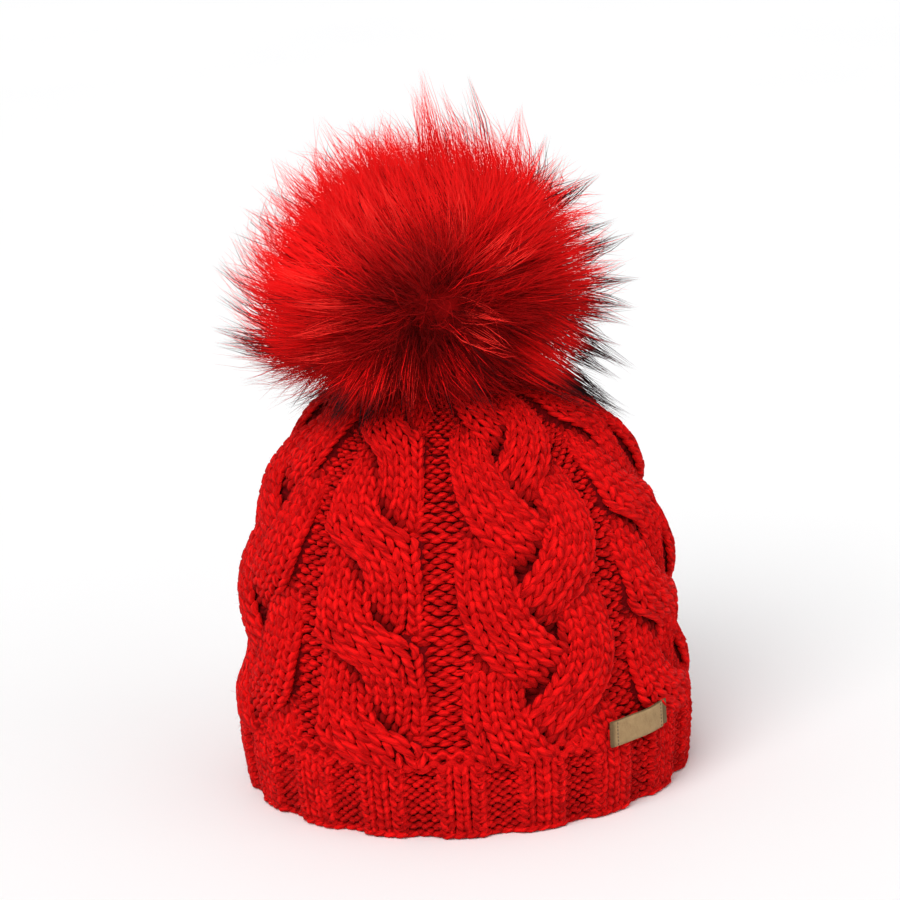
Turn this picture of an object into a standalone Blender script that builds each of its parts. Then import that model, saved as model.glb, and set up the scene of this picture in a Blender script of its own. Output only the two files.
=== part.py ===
"""Bobble hat: a cable-knit crown on a ribbed band, with a fur pompom, its tie button and a folded tab label.

Metres, +Z up. The origin is the centre of the hem, on the plane that the hat rests on, and -Y is the front.
A place on the knit is an angle from the front, counted in stitches, and a height counted along the fabric.
"""

import math

import bmesh
import bpy
from mathutils import Matrix, Vector

# Hat body
HEM_RADIUS = 0.091
SHOULDER_RADIUS = 0.0868
SHOULDER_HEIGHT = 0.055
SIDE_BELLY = 0.0035
CROWN_HEIGHT = 0.174
DOME_POWER = 2.55
KNIT_WALL = 0.004
SEAM_GAP = 0.0003

# Ribbed band
BAND_HEIGHT = 0.031
RIB_COUNT = 18
RIB_RISE = 0.0032
HEM_ROLL = 0.0016
RIB_TURN_DEG = -2.1

# Cables
REPEATS = 4
PLAIT_STITCHES = 12
ROPE_STITCHES = 8
PURL_STITCHES = 3
ROW_HEIGHT = 0.0041
CABLE_RISE = 0.0047
CROSSING_SWING = 0.0027
STRAND_HALF_WIDTH = 2.35
ARCH_POWER = 2.1
PLAIT_REACH = 3.9
PLAIT_HASTE = 0.9
ROPE_REACH = 2.15
ROPE_HASTE = 1.5
PLAIT_TURN_DEG = 20.0
PLAIT_PERIOD_ROWS = 36.0
PLAIT_LEAD_ROW = 9.0
ROPE_PERIOD_ROWS = 20.3
ROPE_LEAD_ROW = 1.8
START_ROWS = 3.0
START_SHARE = 0.7
GATHER_FADE_RADIUS = 0.040

# Gathered top and the tie button that holds the pompom
GATHER_RADIUS = 0.0075
TIE_HOLE_RADIUS = 0.0015
TIE_CLEARANCE = 0.0003
TIE_POST_REACH = 0.012
BUTTON_RADIUS = 0.0065
BUTTON_THICKNESS = 0.003

# Pompom
POMPOM_SHIFT_X = -0.007
POMPOM_LIFT = 0.037
PELT_RADIUS = 0.055
PELT_HALF_HEIGHT = 0.046
LOCK_LENGTH = 0.020
LOCK_LENGTH_SPREAD = 0.006
LOCK_LEAST = 0.001
FUR_CLEARANCE = 0.0012
PELT_SUBDIVISIONS = 3

# Label
LABEL_WIDTH = 0.030
LABEL_TAIL = 0.0045
LABEL_HEIGHT = 0.0105
LABEL_TAPE = 0.0005
LABEL_LAYER_GAP = 0.0006
LABEL_TURN_DEG = 47.3
LABEL_MIDDLE = 0.0352
LABEL_REACH_STITCHES = 0.8

# How finely the curved faces are cut
ROWS_PER_RING = 1.5
INNER_RINGS = 6
BAND_RINGS = 2
TIE_SIDES = 16
LABEL_STEPS = 12
PROFILE_STEPS = 240

STITCHES_PER_REPEAT = PLAIT_STITCHES + ROPE_STITCHES + 2 * PURL_STITCHES
BODY_STITCHES = REPEATS * STITCHES_PER_REPEAT
STITCH_WIDTH = 2 * math.pi * SHOULDER_RADIUS / BODY_STITCHES
RIB_STITCHES = 6
BAND_STITCHES = RIB_COUNT * RIB_STITCHES

# One table row for each stitch across a rib: its height as a share of RIB_RISE
RIB_TABLE = (
    ("knit", 0.86),
    ("knit", 1.00),
    ("knit", 0.86),
    ("purl", 0.16),
    ("purl", 0.00),
    ("purl", 0.16),
)


def profile_radius(height, inset=0.0):
    """Radius of the knit ground at a height: a slightly bellied side, then a dome. The inset moves it inwards."""
    top = CROWN_HEIGHT - inset
    if height <= SHOULDER_HEIGHT:
        along = height / SHOULDER_HEIGHT
        belly = SIDE_BELLY * math.sin(math.pi * along) ** 2
        return HEM_RADIUS + (SHOULDER_RADIUS - HEM_RADIUS) * along + belly - inset
    rise = min(1.0, (height - SHOULDER_HEIGHT) / (top - SHOULDER_HEIGHT))
    return (SHOULDER_RADIUS - inset) * math.sqrt(max(0.0, 1.0 - rise**DOME_POWER))


def dome_height(radius):
    """Height of the dome's ground where it has this radius."""
    share = min(1.0, radius / SHOULDER_RADIUS)
    rise = (1.0 - share * share) ** (1.0 / DOME_POWER)
    return SHOULDER_HEIGHT + (CROWN_HEIGHT - SHOULDER_HEIGHT) * rise


def profile_points(inset=0.0):
    """The ground's profile from the hem to the pole, as (distance along the fabric, radius, height)."""
    top = CROWN_HEIGHT - inset
    heights = [SHOULDER_HEIGHT * i / PROFILE_STEPS for i in range(PROFILE_STEPS)]
    for i in range(PROFILE_STEPS + 1):
        turn = math.sin(0.5 * math.pi * i / PROFILE_STEPS)
        heights.append(SHOULDER_HEIGHT + (top - SHOULDER_HEIGHT) * turn)
    points = []
    along = 0.0
    for height in heights:
        radius = profile_radius(height, inset)
        if points:
            along += math.hypot(radius - points[-1][1], height - points[-1][2])
        points.append((along, radius, height))
    return points


OUTER_PROFILE = profile_points()
INNER_PROFILE = profile_points(KNIT_WALL)


def at_distance(points, along):
    """(radius, height, outward normal) of a profile at a distance along it."""
    last = len(points) - 1
    low, high = 0, last
    while high - low > 1:
        middle = (low + high) // 2
        if points[middle][0] <= along:
            low = middle
        else:
            high = middle
    start, end = points[low], points[high]
    share = (along - start[0]) / (end[0] - start[0])
    radius = start[1] + (end[1] - start[1]) * share
    height = start[2] + (end[2] - start[2]) * share
    slope = math.atan2(end[1] - start[1], end[2] - start[2])
    return radius, height, (math.cos(slope), -math.sin(slope))


def distance_at_height(points, height):
    """Distance along a profile at which it reaches a height."""
    for before, after in zip(points, points[1:]):
        if after[2] >= height:
            share = (height - before[2]) / (after[2] - before[2])
            return before[0] + (after[0] - before[0]) * share
    return points[-1][0]


def distance_at_radius(points, radius):
    """Distance along a profile at which the dome has narrowed to a radius."""
    for before, after in zip(reversed(points[:-1]), reversed(points)):
        if before[1] >= radius:
            share = (before[1] - radius) / (before[1] - after[1])
            return before[0] + (after[0] - before[0]) * share
    return 0.0


def ring_point(radius, height, angle):
    """A point at an angle from the front, turning towards +X."""
    return Vector((radius * math.sin(angle), -radius * math.cos(angle), height))


def strand_side(wave, rate, reach, haste):
    """(sideways place, lean) of a strand from its wave and the wave's rate in turns a row.

    The haste makes it cross faster and rest longer at the sides. The lean is how much wider the strand is along
    its row than across itself.
    """
    scale = reach / math.tanh(haste)
    slope = scale * haste * 2 * math.pi * rate / math.cosh(haste * wave) ** 2 * STITCH_WIDTH / ROW_HEIGHT
    return scale * math.tanh(haste * wave), math.hypot(1.0, slope)


def strand_places(across, row):
    """(distance in stitches across the strand, height swing) from a body stitch to each strand of its cable."""
    in_repeat = across % STITCHES_PER_REPEAT
    plait_middle = PLAIT_STITCHES / 2
    rope_middle = PLAIT_STITCHES + PURL_STITCHES + ROPE_STITCHES / 2
    places = []
    if in_repeat < PLAIT_STITCHES + PURL_STITCHES / 2 or in_repeat > STITCHES_PER_REPEAT - PURL_STITCHES / 2:
        offset = (in_repeat + PURL_STITCHES) % STITCHES_PER_REPEAT - PURL_STITCHES - plait_middle
        for strand in range(3):
            phase = 2 * math.pi * ((row - PLAIT_LEAD_ROW) / PLAIT_PERIOD_ROWS + strand / 3) - math.pi / 2
            wave, rate = -math.cos(phase), math.sin(phase) / PLAIT_PERIOD_ROWS
            side, lean = strand_side(wave, rate, PLAIT_REACH, PLAIT_HASTE)
            places.append(((offset - side) / lean, -math.sin(2 * phase)))
    else:
        offset = in_repeat - rope_middle
        for strand in range(2):
            phase = 2 * math.pi * ((row - ROPE_LEAD_ROW) / ROPE_PERIOD_ROWS + strand / 2)
            wave, rate = -math.sin(phase), -math.cos(phase) / ROPE_PERIOD_ROWS
            side, lean = strand_side(wave, rate, ROPE_REACH, ROPE_HASTE)
            places.append(((offset - side) / lean, math.cos(phase)))
    return places


def cable_relief(across, row, radius):
    """Height of the cables above the purl ground: the highest of the strands' rounded backs."""
    tallest = 0.0
    for sideways, swing in strand_places(across, row):
        share = abs(sideways) / STRAND_HALF_WIDTH
        if share < 1.0:
            arch = (1.0 - share**ARCH_POWER) ** (1.0 / ARCH_POWER)
            tallest = max(tallest, (CABLE_RISE + CROSSING_SWING * swing) * arch)
    start = START_SHARE + (1.0 - START_SHARE) * min(1.0, max(0.0, row) / START_ROWS)
    gather = min(1.0, radius / GATHER_FADE_RADIUS)
    return tallest * start * gather


def rib_relief(stitch):
    """Height of the ribs above the purl ground at a band stitch."""
    return RIB_RISE * RIB_TABLE[stitch % RIB_STITCHES][1]


def body_angle(across):
    """Angle from the front of a body stitch, where 0 is the left edge of the front plait."""
    left_edge = math.radians(PLAIT_TURN_DEG) - math.pi * PLAIT_STITCHES / BODY_STITCHES
    return left_edge + 2 * math.pi * across / BODY_STITCHES


def new_material(name, colour, roughness):
    """A plain Principled material."""
    material = bpy.data.materials.new(name)
    material.use_nodes = True
    shader = material.node_tree.nodes["Principled BSDF"]
    shader.inputs["Base Color"].default_value = (*colour, 1.0)
    shader.inputs["Roughness"].default_value = roughness
    shader.inputs["Metallic"].default_value = 0.0
    return material


def new_object(name, mesh, material):
    """An object that shows a mesh in one material."""
    mesh.materials.append(material)
    part = bpy.data.objects.new(name, mesh)
    bpy.context.scene.collection.objects.link(part)
    return part


def shell_mesh(name, rings):
    """A closed wall from rings of equal length, each joined to the next and the last to the first."""
    mesh = bmesh.new()
    loops = [[mesh.verts.new(point) for point in ring] for ring in rings]
    for lower, upper in zip(loops, loops[1:] + loops[:1]):
        for i in range(len(lower)):
            j = (i + 1) % len(lower)
            mesh.faces.new((lower[i], lower[j], upper[j], upper[i]))
    bmesh.ops.triangulate(mesh, faces=mesh.faces, quad_method="SHORT_EDGE")
    bmesh.ops.recalc_face_normals(mesh, faces=mesh.faces)
    made = bpy.data.meshes.new(name)
    mesh.to_mesh(made)
    mesh.free()
    return made


def make_band(material):
    """The ribbed hem band: knit ribs stand out from purl furrows, and the hem's lower edge rolls in."""
    angles = [
        math.radians(RIB_TURN_DEG) + 2 * math.pi * (i - 1) / BAND_STITCHES for i in range(BAND_STITCHES)
    ]
    rings = []
    for ring in range(BAND_RINGS + 1):
        height = BAND_HEIGHT * ring / BAND_RINGS
        roll = HEM_ROLL if ring == 0 else 0.0
        ground = profile_radius(height) - roll
        rings.append([ring_point(ground + rib_relief(i), height, a) for i, a in enumerate(angles)])
    for height in (BAND_HEIGHT, 0.0):
        inside = profile_radius(height, KNIT_WALL)
        rings.append([ring_point(inside, height, angle) for angle in angles])
    return new_object("rib_band", shell_mesh("rib_band", rings), material)


def crown_outer_rings():
    """Rings of the cabled outside, from the band up to the gathered top."""
    start = distance_at_height(OUTER_PROFILE, BAND_HEIGHT + SEAM_GAP)
    end = distance_at_radius(OUTER_PROFILE, GATHER_RADIUS)
    count = round((end - start) / (ROW_HEIGHT * ROWS_PER_RING))
    rings = []
    for ring in range(count + 1):
        along = start + (end - start) * ring / count
        row = (along - start) / ROW_HEIGHT
        radius, height, normal = at_distance(OUTER_PROFILE, along)
        lean = normal if 0 < ring < count else (float(ring == 0), float(ring == count))
        points = []
        for stitch in range(BODY_STITCHES):
            across = stitch + 0.5
            rise = cable_relief(across, row, radius) if ring < count else 0.0
            if ring == count:
                height = CROWN_HEIGHT
            points.append(ring_point(radius + rise * lean[0], height + rise * lean[1], body_angle(across)))
        rings.append(points)
    return rings


def crown_inner_rings():
    """Rings of the inside: the tie hole, the flat that the button bears on, and the plain side down to the band."""
    start = distance_at_height(INNER_PROFILE, BAND_HEIGHT + SEAM_GAP)
    end = distance_at_radius(INNER_PROFILE, GATHER_RADIUS)
    angles = [body_angle(stitch + 0.5) for stitch in range(BODY_STITCHES)]
    hole = TIE_HOLE_RADIUS + TIE_CLEARANCE
    ceiling = CROWN_HEIGHT - KNIT_WALL
    places = [(hole, CROWN_HEIGHT), (hole, ceiling), (GATHER_RADIUS, ceiling)]
    for ring in range(1, INNER_RINGS + 1):
        along = end + (start - end) * (ring / INNER_RINGS)
        radius, height, _ = at_distance(INNER_PROFILE, along)
        places.append((radius, height))
    return [[ring_point(radius, height, angle) for angle in angles] for radius, height in places]


def make_crown(material):
    """The cable-knit body: one wall with plaits and ropes in relief, gathered round a small hole on top."""
    rings = crown_outer_rings() + crown_inner_rings()
    return new_object("crown", shell_mesh("crown", rings), material)


def turned_mesh(name, outline, sides):
    """A solid turned about Z from an outline of (radius, height) that starts and ends on the axis."""
    mesh = bmesh.new()
    rings = []
    for radius, height in outline[1:-1]:
        rings.append([mesh.verts.new(ring_point(radius, height, 2 * math.pi * i / sides)) for i in range(sides)])
    for lower, upper in zip(rings, rings[1:]):
        for i in range(sides):
            j = (i + 1) % sides
            mesh.faces.new((lower[i], lower[j], upper[j], upper[i]))
    for ring, (_, height) in ((rings[0], outline[0]), (rings[-1], outline[-1])):
        pole = mesh.verts.new((0.0, 0.0, height))
        for i in range(sides):
            mesh.faces.new((ring[i], ring[(i + 1) % sides], pole))
    bmesh.ops.recalc_face_normals(mesh, faces=mesh.faces)
    made = bpy.data.meshes.new(name)
    mesh.to_mesh(made)
    mesh.free()
    return made


def make_tie(material):
    """The button inside the hat, with the post that goes up through the gathered top into the pompom."""
    seat = CROWN_HEIGHT - KNIT_WALL - SEAM_GAP
    post_top = CROWN_HEIGHT + TIE_POST_REACH
    outline = (
        (0.0, seat - BUTTON_THICKNESS),
        (BUTTON_RADIUS * 0.8, seat - BUTTON_THICKNESS),
        (BUTTON_RADIUS, seat - BUTTON_THICKNESS / 2),
        (BUTTON_RADIUS, seat),
        (TIE_HOLE_RADIUS, seat),
        (TIE_HOLE_RADIUS, post_top),
        (0.0, post_top),
    )
    return new_object("tie_button", turned_mesh("tie_button", outline, TIE_SIDES), material)


def knit_ceiling(radius):
    """The lowest height that the fur may have at this distance from the hat's axis."""
    if radius <= GATHER_RADIUS:
        return CROWN_HEIGHT + SEAM_GAP
    if radius >= SHOULDER_RADIUS:
        return 0.0
    relief = (CABLE_RISE + CROSSING_SWING) * min(1.0, radius / GATHER_FADE_RADIUS)
    return dome_height(max(0.0, radius - relief)) + relief + FUR_CLEARANCE


def lock_variation(index):
    """A steady spread of numbers from -1 to 1, by the golden ratio."""
    return 2.0 * ((index * 0.61803398875) % 1.0) - 1.0


def clears_knit(point):
    """True where a point of the fur lies above the knit."""
    return point.z >= knit_ceiling(math.hypot(point.x, point.y))


def make_pompom(material):
    """The fur pompom: a pelt ball seated on the gathered top, with pointed locks fused all over it."""
    centre = Vector((POMPOM_SHIFT_X, 0.0, CROWN_HEIGHT + POMPOM_LIFT))
    mesh = bmesh.new()
    bmesh.ops.create_icosphere(mesh, subdivisions=PELT_SUBDIVISIONS, radius=1.0)
    size = Matrix.Diagonal((PELT_RADIUS, PELT_RADIUS, PELT_HALF_HEIGHT, 1.0))
    bmesh.ops.transform(mesh, matrix=Matrix.Translation(centre) @ size, verts=mesh.verts)
    seat_height = CROWN_HEIGHT + SEAM_GAP
    for vert in mesh.verts:
        floor = max(seat_height, knit_ceiling(math.hypot(vert.co.x, vert.co.y)))
        vert.co.z = max(vert.co.z, floor if vert.co.z < centre.z else vert.co.z)
    mesh.normal_update()
    for index, face in enumerate(list(mesh.faces)):
        root = face.calc_center_median()
        outwards = (root - centre).normalized()
        length = LOCK_LENGTH + LOCK_LENGTH_SPREAD * lock_variation(index)
        while length > LOCK_LEAST and not clears_knit(root + outwards * length):
            length -= LOCK_LEAST
        if length <= LOCK_LEAST or outwards.dot(face.normal) < 0.5:
            continue
        poked = bmesh.ops.poke(mesh, faces=[face], offset=0.0)
        poked["verts"][0].co = root + outwards * length
    bmesh.ops.recalc_face_normals(mesh, faces=mesh.faces)
    made = bpy.data.meshes.new("pompom")
    mesh.to_mesh(made)
    mesh.free()
    pompom = new_object("pompom", made, material)
    cut_socket(pompom)
    return pompom


def cut_socket(pompom):
    """The blind socket in the pompom's base that the tie's post stands in."""
    base = CROWN_HEIGHT - TIE_POST_REACH
    top = CROWN_HEIGHT + TIE_POST_REACH + TIE_CLEARANCE
    radius = TIE_HOLE_RADIUS + TIE_CLEARANCE
    outline = ((0.0, base), (radius, base), (radius, top), (0.0, top))
    cutter = bpy.data.objects.new("socket_cutter", turned_mesh("socket_cutter", outline, TIE_SIDES))
    cutter.hide_render = True
    cutter.display_type = "WIRE"
    bpy.context.scene.collection.objects.link(cutter)
    cut = pompom.modifiers.new("socket", "BOOLEAN")
    cut.operation = "DIFFERENCE"
    cut.object = cutter


def label_lift(x):
    """How far the label's back lies outside the ground at a distance from its middle: clear of what is under it."""
    tallest = RIB_RISE
    top_row = (LABEL_MIDDLE + LABEL_HEIGHT / 2 - BAND_HEIGHT) / ROW_HEIGHT
    angle = math.radians(LABEL_TURN_DEG) + x / HEM_RADIUS
    middle = (angle - body_angle(0.0)) * BODY_STITCHES / (2 * math.pi)
    for step in range(-2, 3):
        across = middle + LABEL_REACH_STITCHES * step / 2
        for share in (0.0, 0.5, 1.0):
            tallest = max(tallest, cable_relief(across, top_row * share, SHOULDER_RADIUS))
    return tallest + SEAM_GAP


def make_label(material):
    """The tab label: a tape whose front layer folds round at the left and lies over a longer back layer."""
    ground = profile_radius(LABEL_MIDDLE - LABEL_HEIGHT / 2)
    front = LABEL_TAPE + LABEL_LAYER_GAP
    left = -(LABEL_WIDTH + LABEL_TAIL) / 2
    fold = (LABEL_LAYER_GAP + 2 * LABEL_TAPE) / 2
    steps = range(LABEL_STEPS + 1)
    back_run = [(left + LABEL_WIDTH + LABEL_TAIL) * (1 - i / LABEL_STEPS) + left * i / LABEL_STEPS for i in steps]
    front_run = [left + LABEL_WIDTH * i / LABEL_STEPS for i in steps]
    outer = [(x, 0.0) for x in back_run] + [(left - fold, fold)]
    outer += [(x, front + LABEL_TAPE) for x in front_run]
    inner = [(x, front) for x in reversed(front_run)]
    inner += [(left, (LABEL_TAPE + front) / 2)]
    inner += [(x, LABEL_TAPE) for x in reversed(back_run)]
    outline = outer + inner
    turn = math.radians(LABEL_TURN_DEG)
    rings = []
    for x, lift in outline:
        radius = ground + label_lift(x) + lift
        low, high = LABEL_MIDDLE - LABEL_HEIGHT / 2, LABEL_MIDDLE + LABEL_HEIGHT / 2
        angle = turn + x / HEM_RADIUS
        rings.append((ring_point(radius, low, angle), ring_point(radius, high, angle)))
    mesh = bmesh.new()
    lower = [mesh.verts.new(low) for low, _ in rings]
    upper = [mesh.verts.new(high) for _, high in rings]
    count = len(rings)
    for i in range(count):
        j = (i + 1) % count
        mesh.faces.new((lower[i], lower[j], upper[j], upper[i]))
    for i in range(count // 2 - 1):
        mirror = count - 1 - i
        mesh.faces.new((lower[i], lower[i + 1], lower[mirror - 1], lower[mirror]))
        mesh.faces.new((upper[i], upper[i + 1], upper[mirror - 1], upper[mirror]))
    bmesh.ops.triangulate(mesh, faces=mesh.faces, quad_method="SHORT_EDGE")
    bmesh.ops.recalc_face_normals(mesh, faces=mesh.faces)
    made = bpy.data.meshes.new("label")
    mesh.to_mesh(made)
    mesh.free()
    return new_object("label", made, material)


def main():
    """Clears the scene and builds the hat."""
    for old in list(bpy.data.objects):
        bpy.data.objects.remove(old, do_unlink=True)
    wool = new_material("red_wool", (0.62, 0.008, 0.012), 0.85)
    ribbing = new_material("red_ribbing", (0.56, 0.008, 0.012), 0.85)
    fur = new_material("red_fur", (0.60, 0.010, 0.010), 0.60)
    tie = new_material("red_button", (0.25, 0.010, 0.010), 0.45)
    tape = new_material("tan_tape", (0.45, 0.33, 0.20), 0.80)
    make_band(ribbing)
    make_crown(wool)
    make_tie(tie)
    make_pompom(fur)
    make_label(tape)


main()
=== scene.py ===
"""The looks of the bobble hat: yarn laid stitch by stitch over the knit's ground, and a pompom of single hairs.

Everything is in metres in the row frame. Places on the knit are an angle from the front (-Y, turning towards +X),
a distance along the fabric from the hem, and a lift above the purl ground.
"""

import logging
import math
from dataclasses import dataclass
from enum import Enum
from typing import Optional, Union

import bpy
import numpy as np
from mathutils import Matrix, Vector


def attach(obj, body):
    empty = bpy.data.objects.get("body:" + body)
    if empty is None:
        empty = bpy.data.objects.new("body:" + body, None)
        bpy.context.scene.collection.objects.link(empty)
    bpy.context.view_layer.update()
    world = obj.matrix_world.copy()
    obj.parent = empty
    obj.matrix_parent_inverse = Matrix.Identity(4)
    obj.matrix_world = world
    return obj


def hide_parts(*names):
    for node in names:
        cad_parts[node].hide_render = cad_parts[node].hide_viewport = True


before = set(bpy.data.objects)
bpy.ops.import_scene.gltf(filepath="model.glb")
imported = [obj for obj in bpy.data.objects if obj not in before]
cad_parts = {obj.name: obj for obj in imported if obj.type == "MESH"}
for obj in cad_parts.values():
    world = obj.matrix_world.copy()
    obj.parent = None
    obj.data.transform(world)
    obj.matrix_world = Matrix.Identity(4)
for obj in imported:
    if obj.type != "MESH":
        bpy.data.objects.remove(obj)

LOG = logging.getLogger("bobble_hat")
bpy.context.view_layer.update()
ROOT = "root"
TAU = 2.0 * math.pi
UV_NAME = "UVMap"
TONE = "tone"
YARN_SIDES = 5
LEG_SHARES = np.array([0.04, 0.34, 0.66, 0.96])
BUMP_SHARES = np.array([0.03, 0.35, 0.65, 0.97])
BUMP_PROFILE = np.array([0.22, 1.0, 1.0, 0.22])
UNSEEN = -0.004

Array = np.ndarray
Colour = tuple[float, float, float]
Spot = tuple[float, float, float]
Number = Union["Field", float]


# ---------------------------------------------------------------- mesh building


def unit(vectors: Array) -> Array:
    """Scales the vectors along the last axis to length one."""
    return vectors / np.maximum(np.linalg.norm(vectors, axis=-1, keepdims=True), 1e-12)


def smooth(value: Array, low: float = 0.0, high: float = 1.0) -> Array:
    """A smooth step: 0 below low, 1 above high, and 3t^2 - 2t^3 of the share t between them."""
    share = np.clip((value - low) / (high - low), 0.0, 1.0)
    return share * share * (3.0 - 2.0 * share)


def columns_of(*axes: Array) -> list[Array]:
    """Every combination of some values, as one column of numbers for each axis."""
    return [grid.ravel()[:, None].astype(float) for grid in np.meshgrid(*axes, indexing="ij")]


def about_axis(radius: Array, angle: Array, height: Array) -> Array:
    """Points at a radius, an angle from the front and a height: (r * sin a, -r * cos a, h)."""
    return np.stack(np.broadcast_arrays(radius * np.sin(angle), -radius * np.cos(angle), height), -1)


@dataclass
class Surface:
    """Points and faces of one mesh, worked out as whole arrays.

    Each face group is (corners, corner UVs), with corners of shape (faces, sides) and UVs of (faces, sides, 2).
    """

    points: Array
    faces: list[tuple[Array, Array]]
    tone: Array

    @property
    def triangles(self) -> int:
        """How many triangles the faces come to."""
        return sum(len(corners) * (corners.shape[1] - 2) for corners, _ in self.faces)

    def build(self, name: str, material: bpy.types.Material, slot: str) -> bpy.types.Object:
        """Makes the mesh object, dresses it and lets it ride on the hat.

        Args:
            name: The piece's name.
            material: What it is dressed in.
            slot: Not used.

        Returns:
            The new object, at the origin with its place in its mesh.
        """
        mesh = bpy.data.meshes.new(name)
        sides = np.concatenate([np.full(len(c), c.shape[1]) for c, _ in self.faces])
        corners = np.concatenate([c.ravel() for c, _ in self.faces])
        uvs = np.concatenate([uv.reshape(-1, 2) for _, uv in self.faces])
        mesh.vertices.add(len(self.points))
        mesh.vertices.foreach_set("co", self.points.astype(np.float32).ravel())
        mesh.loops.add(len(corners))
        mesh.loops.foreach_set("vertex_index", corners.astype(np.int32))
        mesh.polygons.add(len(sides))
        starts = np.concatenate([[0], np.cumsum(sides)[:-1]])
        mesh.polygons.foreach_set("loop_start", starts.astype(np.int32))
        mesh.polygons.foreach_set("use_smooth", np.ones(len(sides), bool))
        mesh.update(calc_edges=True)
        mesh.uv_layers.new(name=UV_NAME).data.foreach_set("uv", uvs.astype(np.float32).ravel())
        mesh.attributes.new(TONE, "FLOAT", "POINT").data.foreach_set("value", self.tone.astype(np.float32))
        mesh.validate()
        mesh.materials.append(material)
        piece = bpy.data.objects.new(name, mesh)
        bpy.context.scene.collection.objects.link(piece)
        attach(piece, ROOT)
        LOG.info("%s: %d triangles", name, self.triangles)
        return piece


def net(spans: int, around: int, rings: int, steps: float) -> tuple[Array, Array]:
    """The quads of a net of rings, each of which joins a ring to the one after it.

    Args:
        spans: How many rings are joined to the next one; the last is joined to the first if this is all of them.
        around: Points round a ring.
        rings: How many rings there are.
        steps: The ring number at which V is 1.

    Returns:
        (corners, corner UVs). U goes round the rings and V along them.
    """
    k, j = (grid.ravel() for grid in np.meshgrid(np.arange(spans), np.arange(around), indexing="ij"))
    after, beside = (k + 1) % rings, (j + 1) % around
    quad = np.stack([k * around + j, k * around + beside, after * around + beside, after * around + j], -1)
    corners = ((j, k), (j + 1, k), (j + 1, k + 1), (j, k + 1))
    return quad, np.stack([np.stack([a / around, b / steps], -1) for a, b in corners], 1)


def fans(around: int, rings: int) -> Array:
    """The triangles that close a net's two ends, with the end points numbered after all its rings.

    Args:
        around: Points round a ring.
        rings: How many rings there are.

    Returns:
        The triangles' corners.
    """
    j = np.arange(around)
    beside, top = (j + 1) % around, (rings - 1) * around
    first, last = np.full(around, rings * around), np.full(around, rings * around + 1)
    return np.concatenate([np.stack([first, beside, j], -1), np.stack([last, top + j, top + beside], -1)])


def ring_frames(centres: Array, normals: Array, closed: bool) -> tuple[Array, Array, Array]:
    """Axes across each point of many paths.

    The tangent is the difference of the neighbouring centres, the side is normal x tangent, and up is
    tangent x side.

    Args:
        centres: Path points, of shape (paths, rings, 3).
        normals: A direction near up at each of them.
        closed: Whether each path's last point is followed by its first.

    Returns:
        (tangent, side, up), each of the centres' shape.
    """
    if closed:
        along = np.roll(centres, -1, axis=1) - np.roll(centres, 1, axis=1)
    else:
        along = np.gradient(centres, axis=1)
    tangent = unit(along)
    side = unit(np.cross(normals, tangent))
    return tangent, side, np.cross(tangent, side)


def rings_round(centres: Array, radii: Array, side: Array, up: Array, sides: int) -> Array:
    """Rings round path points: centre + radius * (cos a * side + sin a * up) for equal steps of the angle a.

    Args:
        centres: Path points, of shape (paths, rings, 3).
        radii: Radius at each of them.
        side: One axis across the path at each of them.
        up: The other axis.
        sides: Points round a ring.

    Returns:
        Points of shape (paths, rings * sides, 3).
    """
    turn = TAU * np.arange(sides) / sides
    spokes = np.cos(turn)[:, None] * side[:, :, None] + np.sin(turn)[:, None] * up[:, :, None]
    return (centres[:, :, None] + radii[:, :, None, None] * spokes).reshape(len(centres), -1, 3)


def tubes(centres: Array, radii: Array, normals: Array, sides: int, tone: Array, closed: bool = False) -> Surface:
    """Closed tubes along many paths at once, rounded to a point at both ends unless the path is closed.

    Args:
        centres: Path points, of shape (tubes, rings, 3).
        radii: Radius at each of them.
        normals: A direction near up at each of them.
        sides: Points round a ring.
        tone: One value for each tube, kept as the mesh's tone.
        closed: Whether the paths are loops.

    Returns:
        The tubes' surface. U goes round each tube and V along it.
    """
    count, rings, _ = centres.shape
    tangent, side, up = ring_frames(centres, normals, closed)
    points = [rings_round(centres, radii, side, up, sides)]
    stride = rings * sides + (0 if closed else 2)
    base = np.arange(count)[:, None, None] * stride
    quad, uv = net(rings if closed else rings - 1, sides, rings, max(1, rings - 1))
    faces = [((base + quad).reshape(-1, 4), np.tile(uv, (count, 1, 1)))]
    if not closed:
        rounded = 0.7
        points.append((centres[:, 0] - tangent[:, 0] * radii[:, :1] * rounded)[:, None])
        points.append((centres[:, -1] + tangent[:, -1] * radii[:, -1:] * rounded)[:, None])
        j = np.arange(sides)
        ends = ((0.0, (0.5, 1, 0)), (1.0, (0.5, 0, 1)))
        uv = [np.stack([np.stack([(j + a) / sides, np.full(sides, v)], -1) for a in us], 1) for v, us in ends]
        caps = (base + fans(sides, rings)).reshape(-1, 3)
        faces.append((caps, np.tile(np.concatenate(uv), (count, 1, 1))))
    return Surface(np.concatenate(points, axis=1).reshape(-1, 3), faces, np.repeat(tone, stride))


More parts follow.
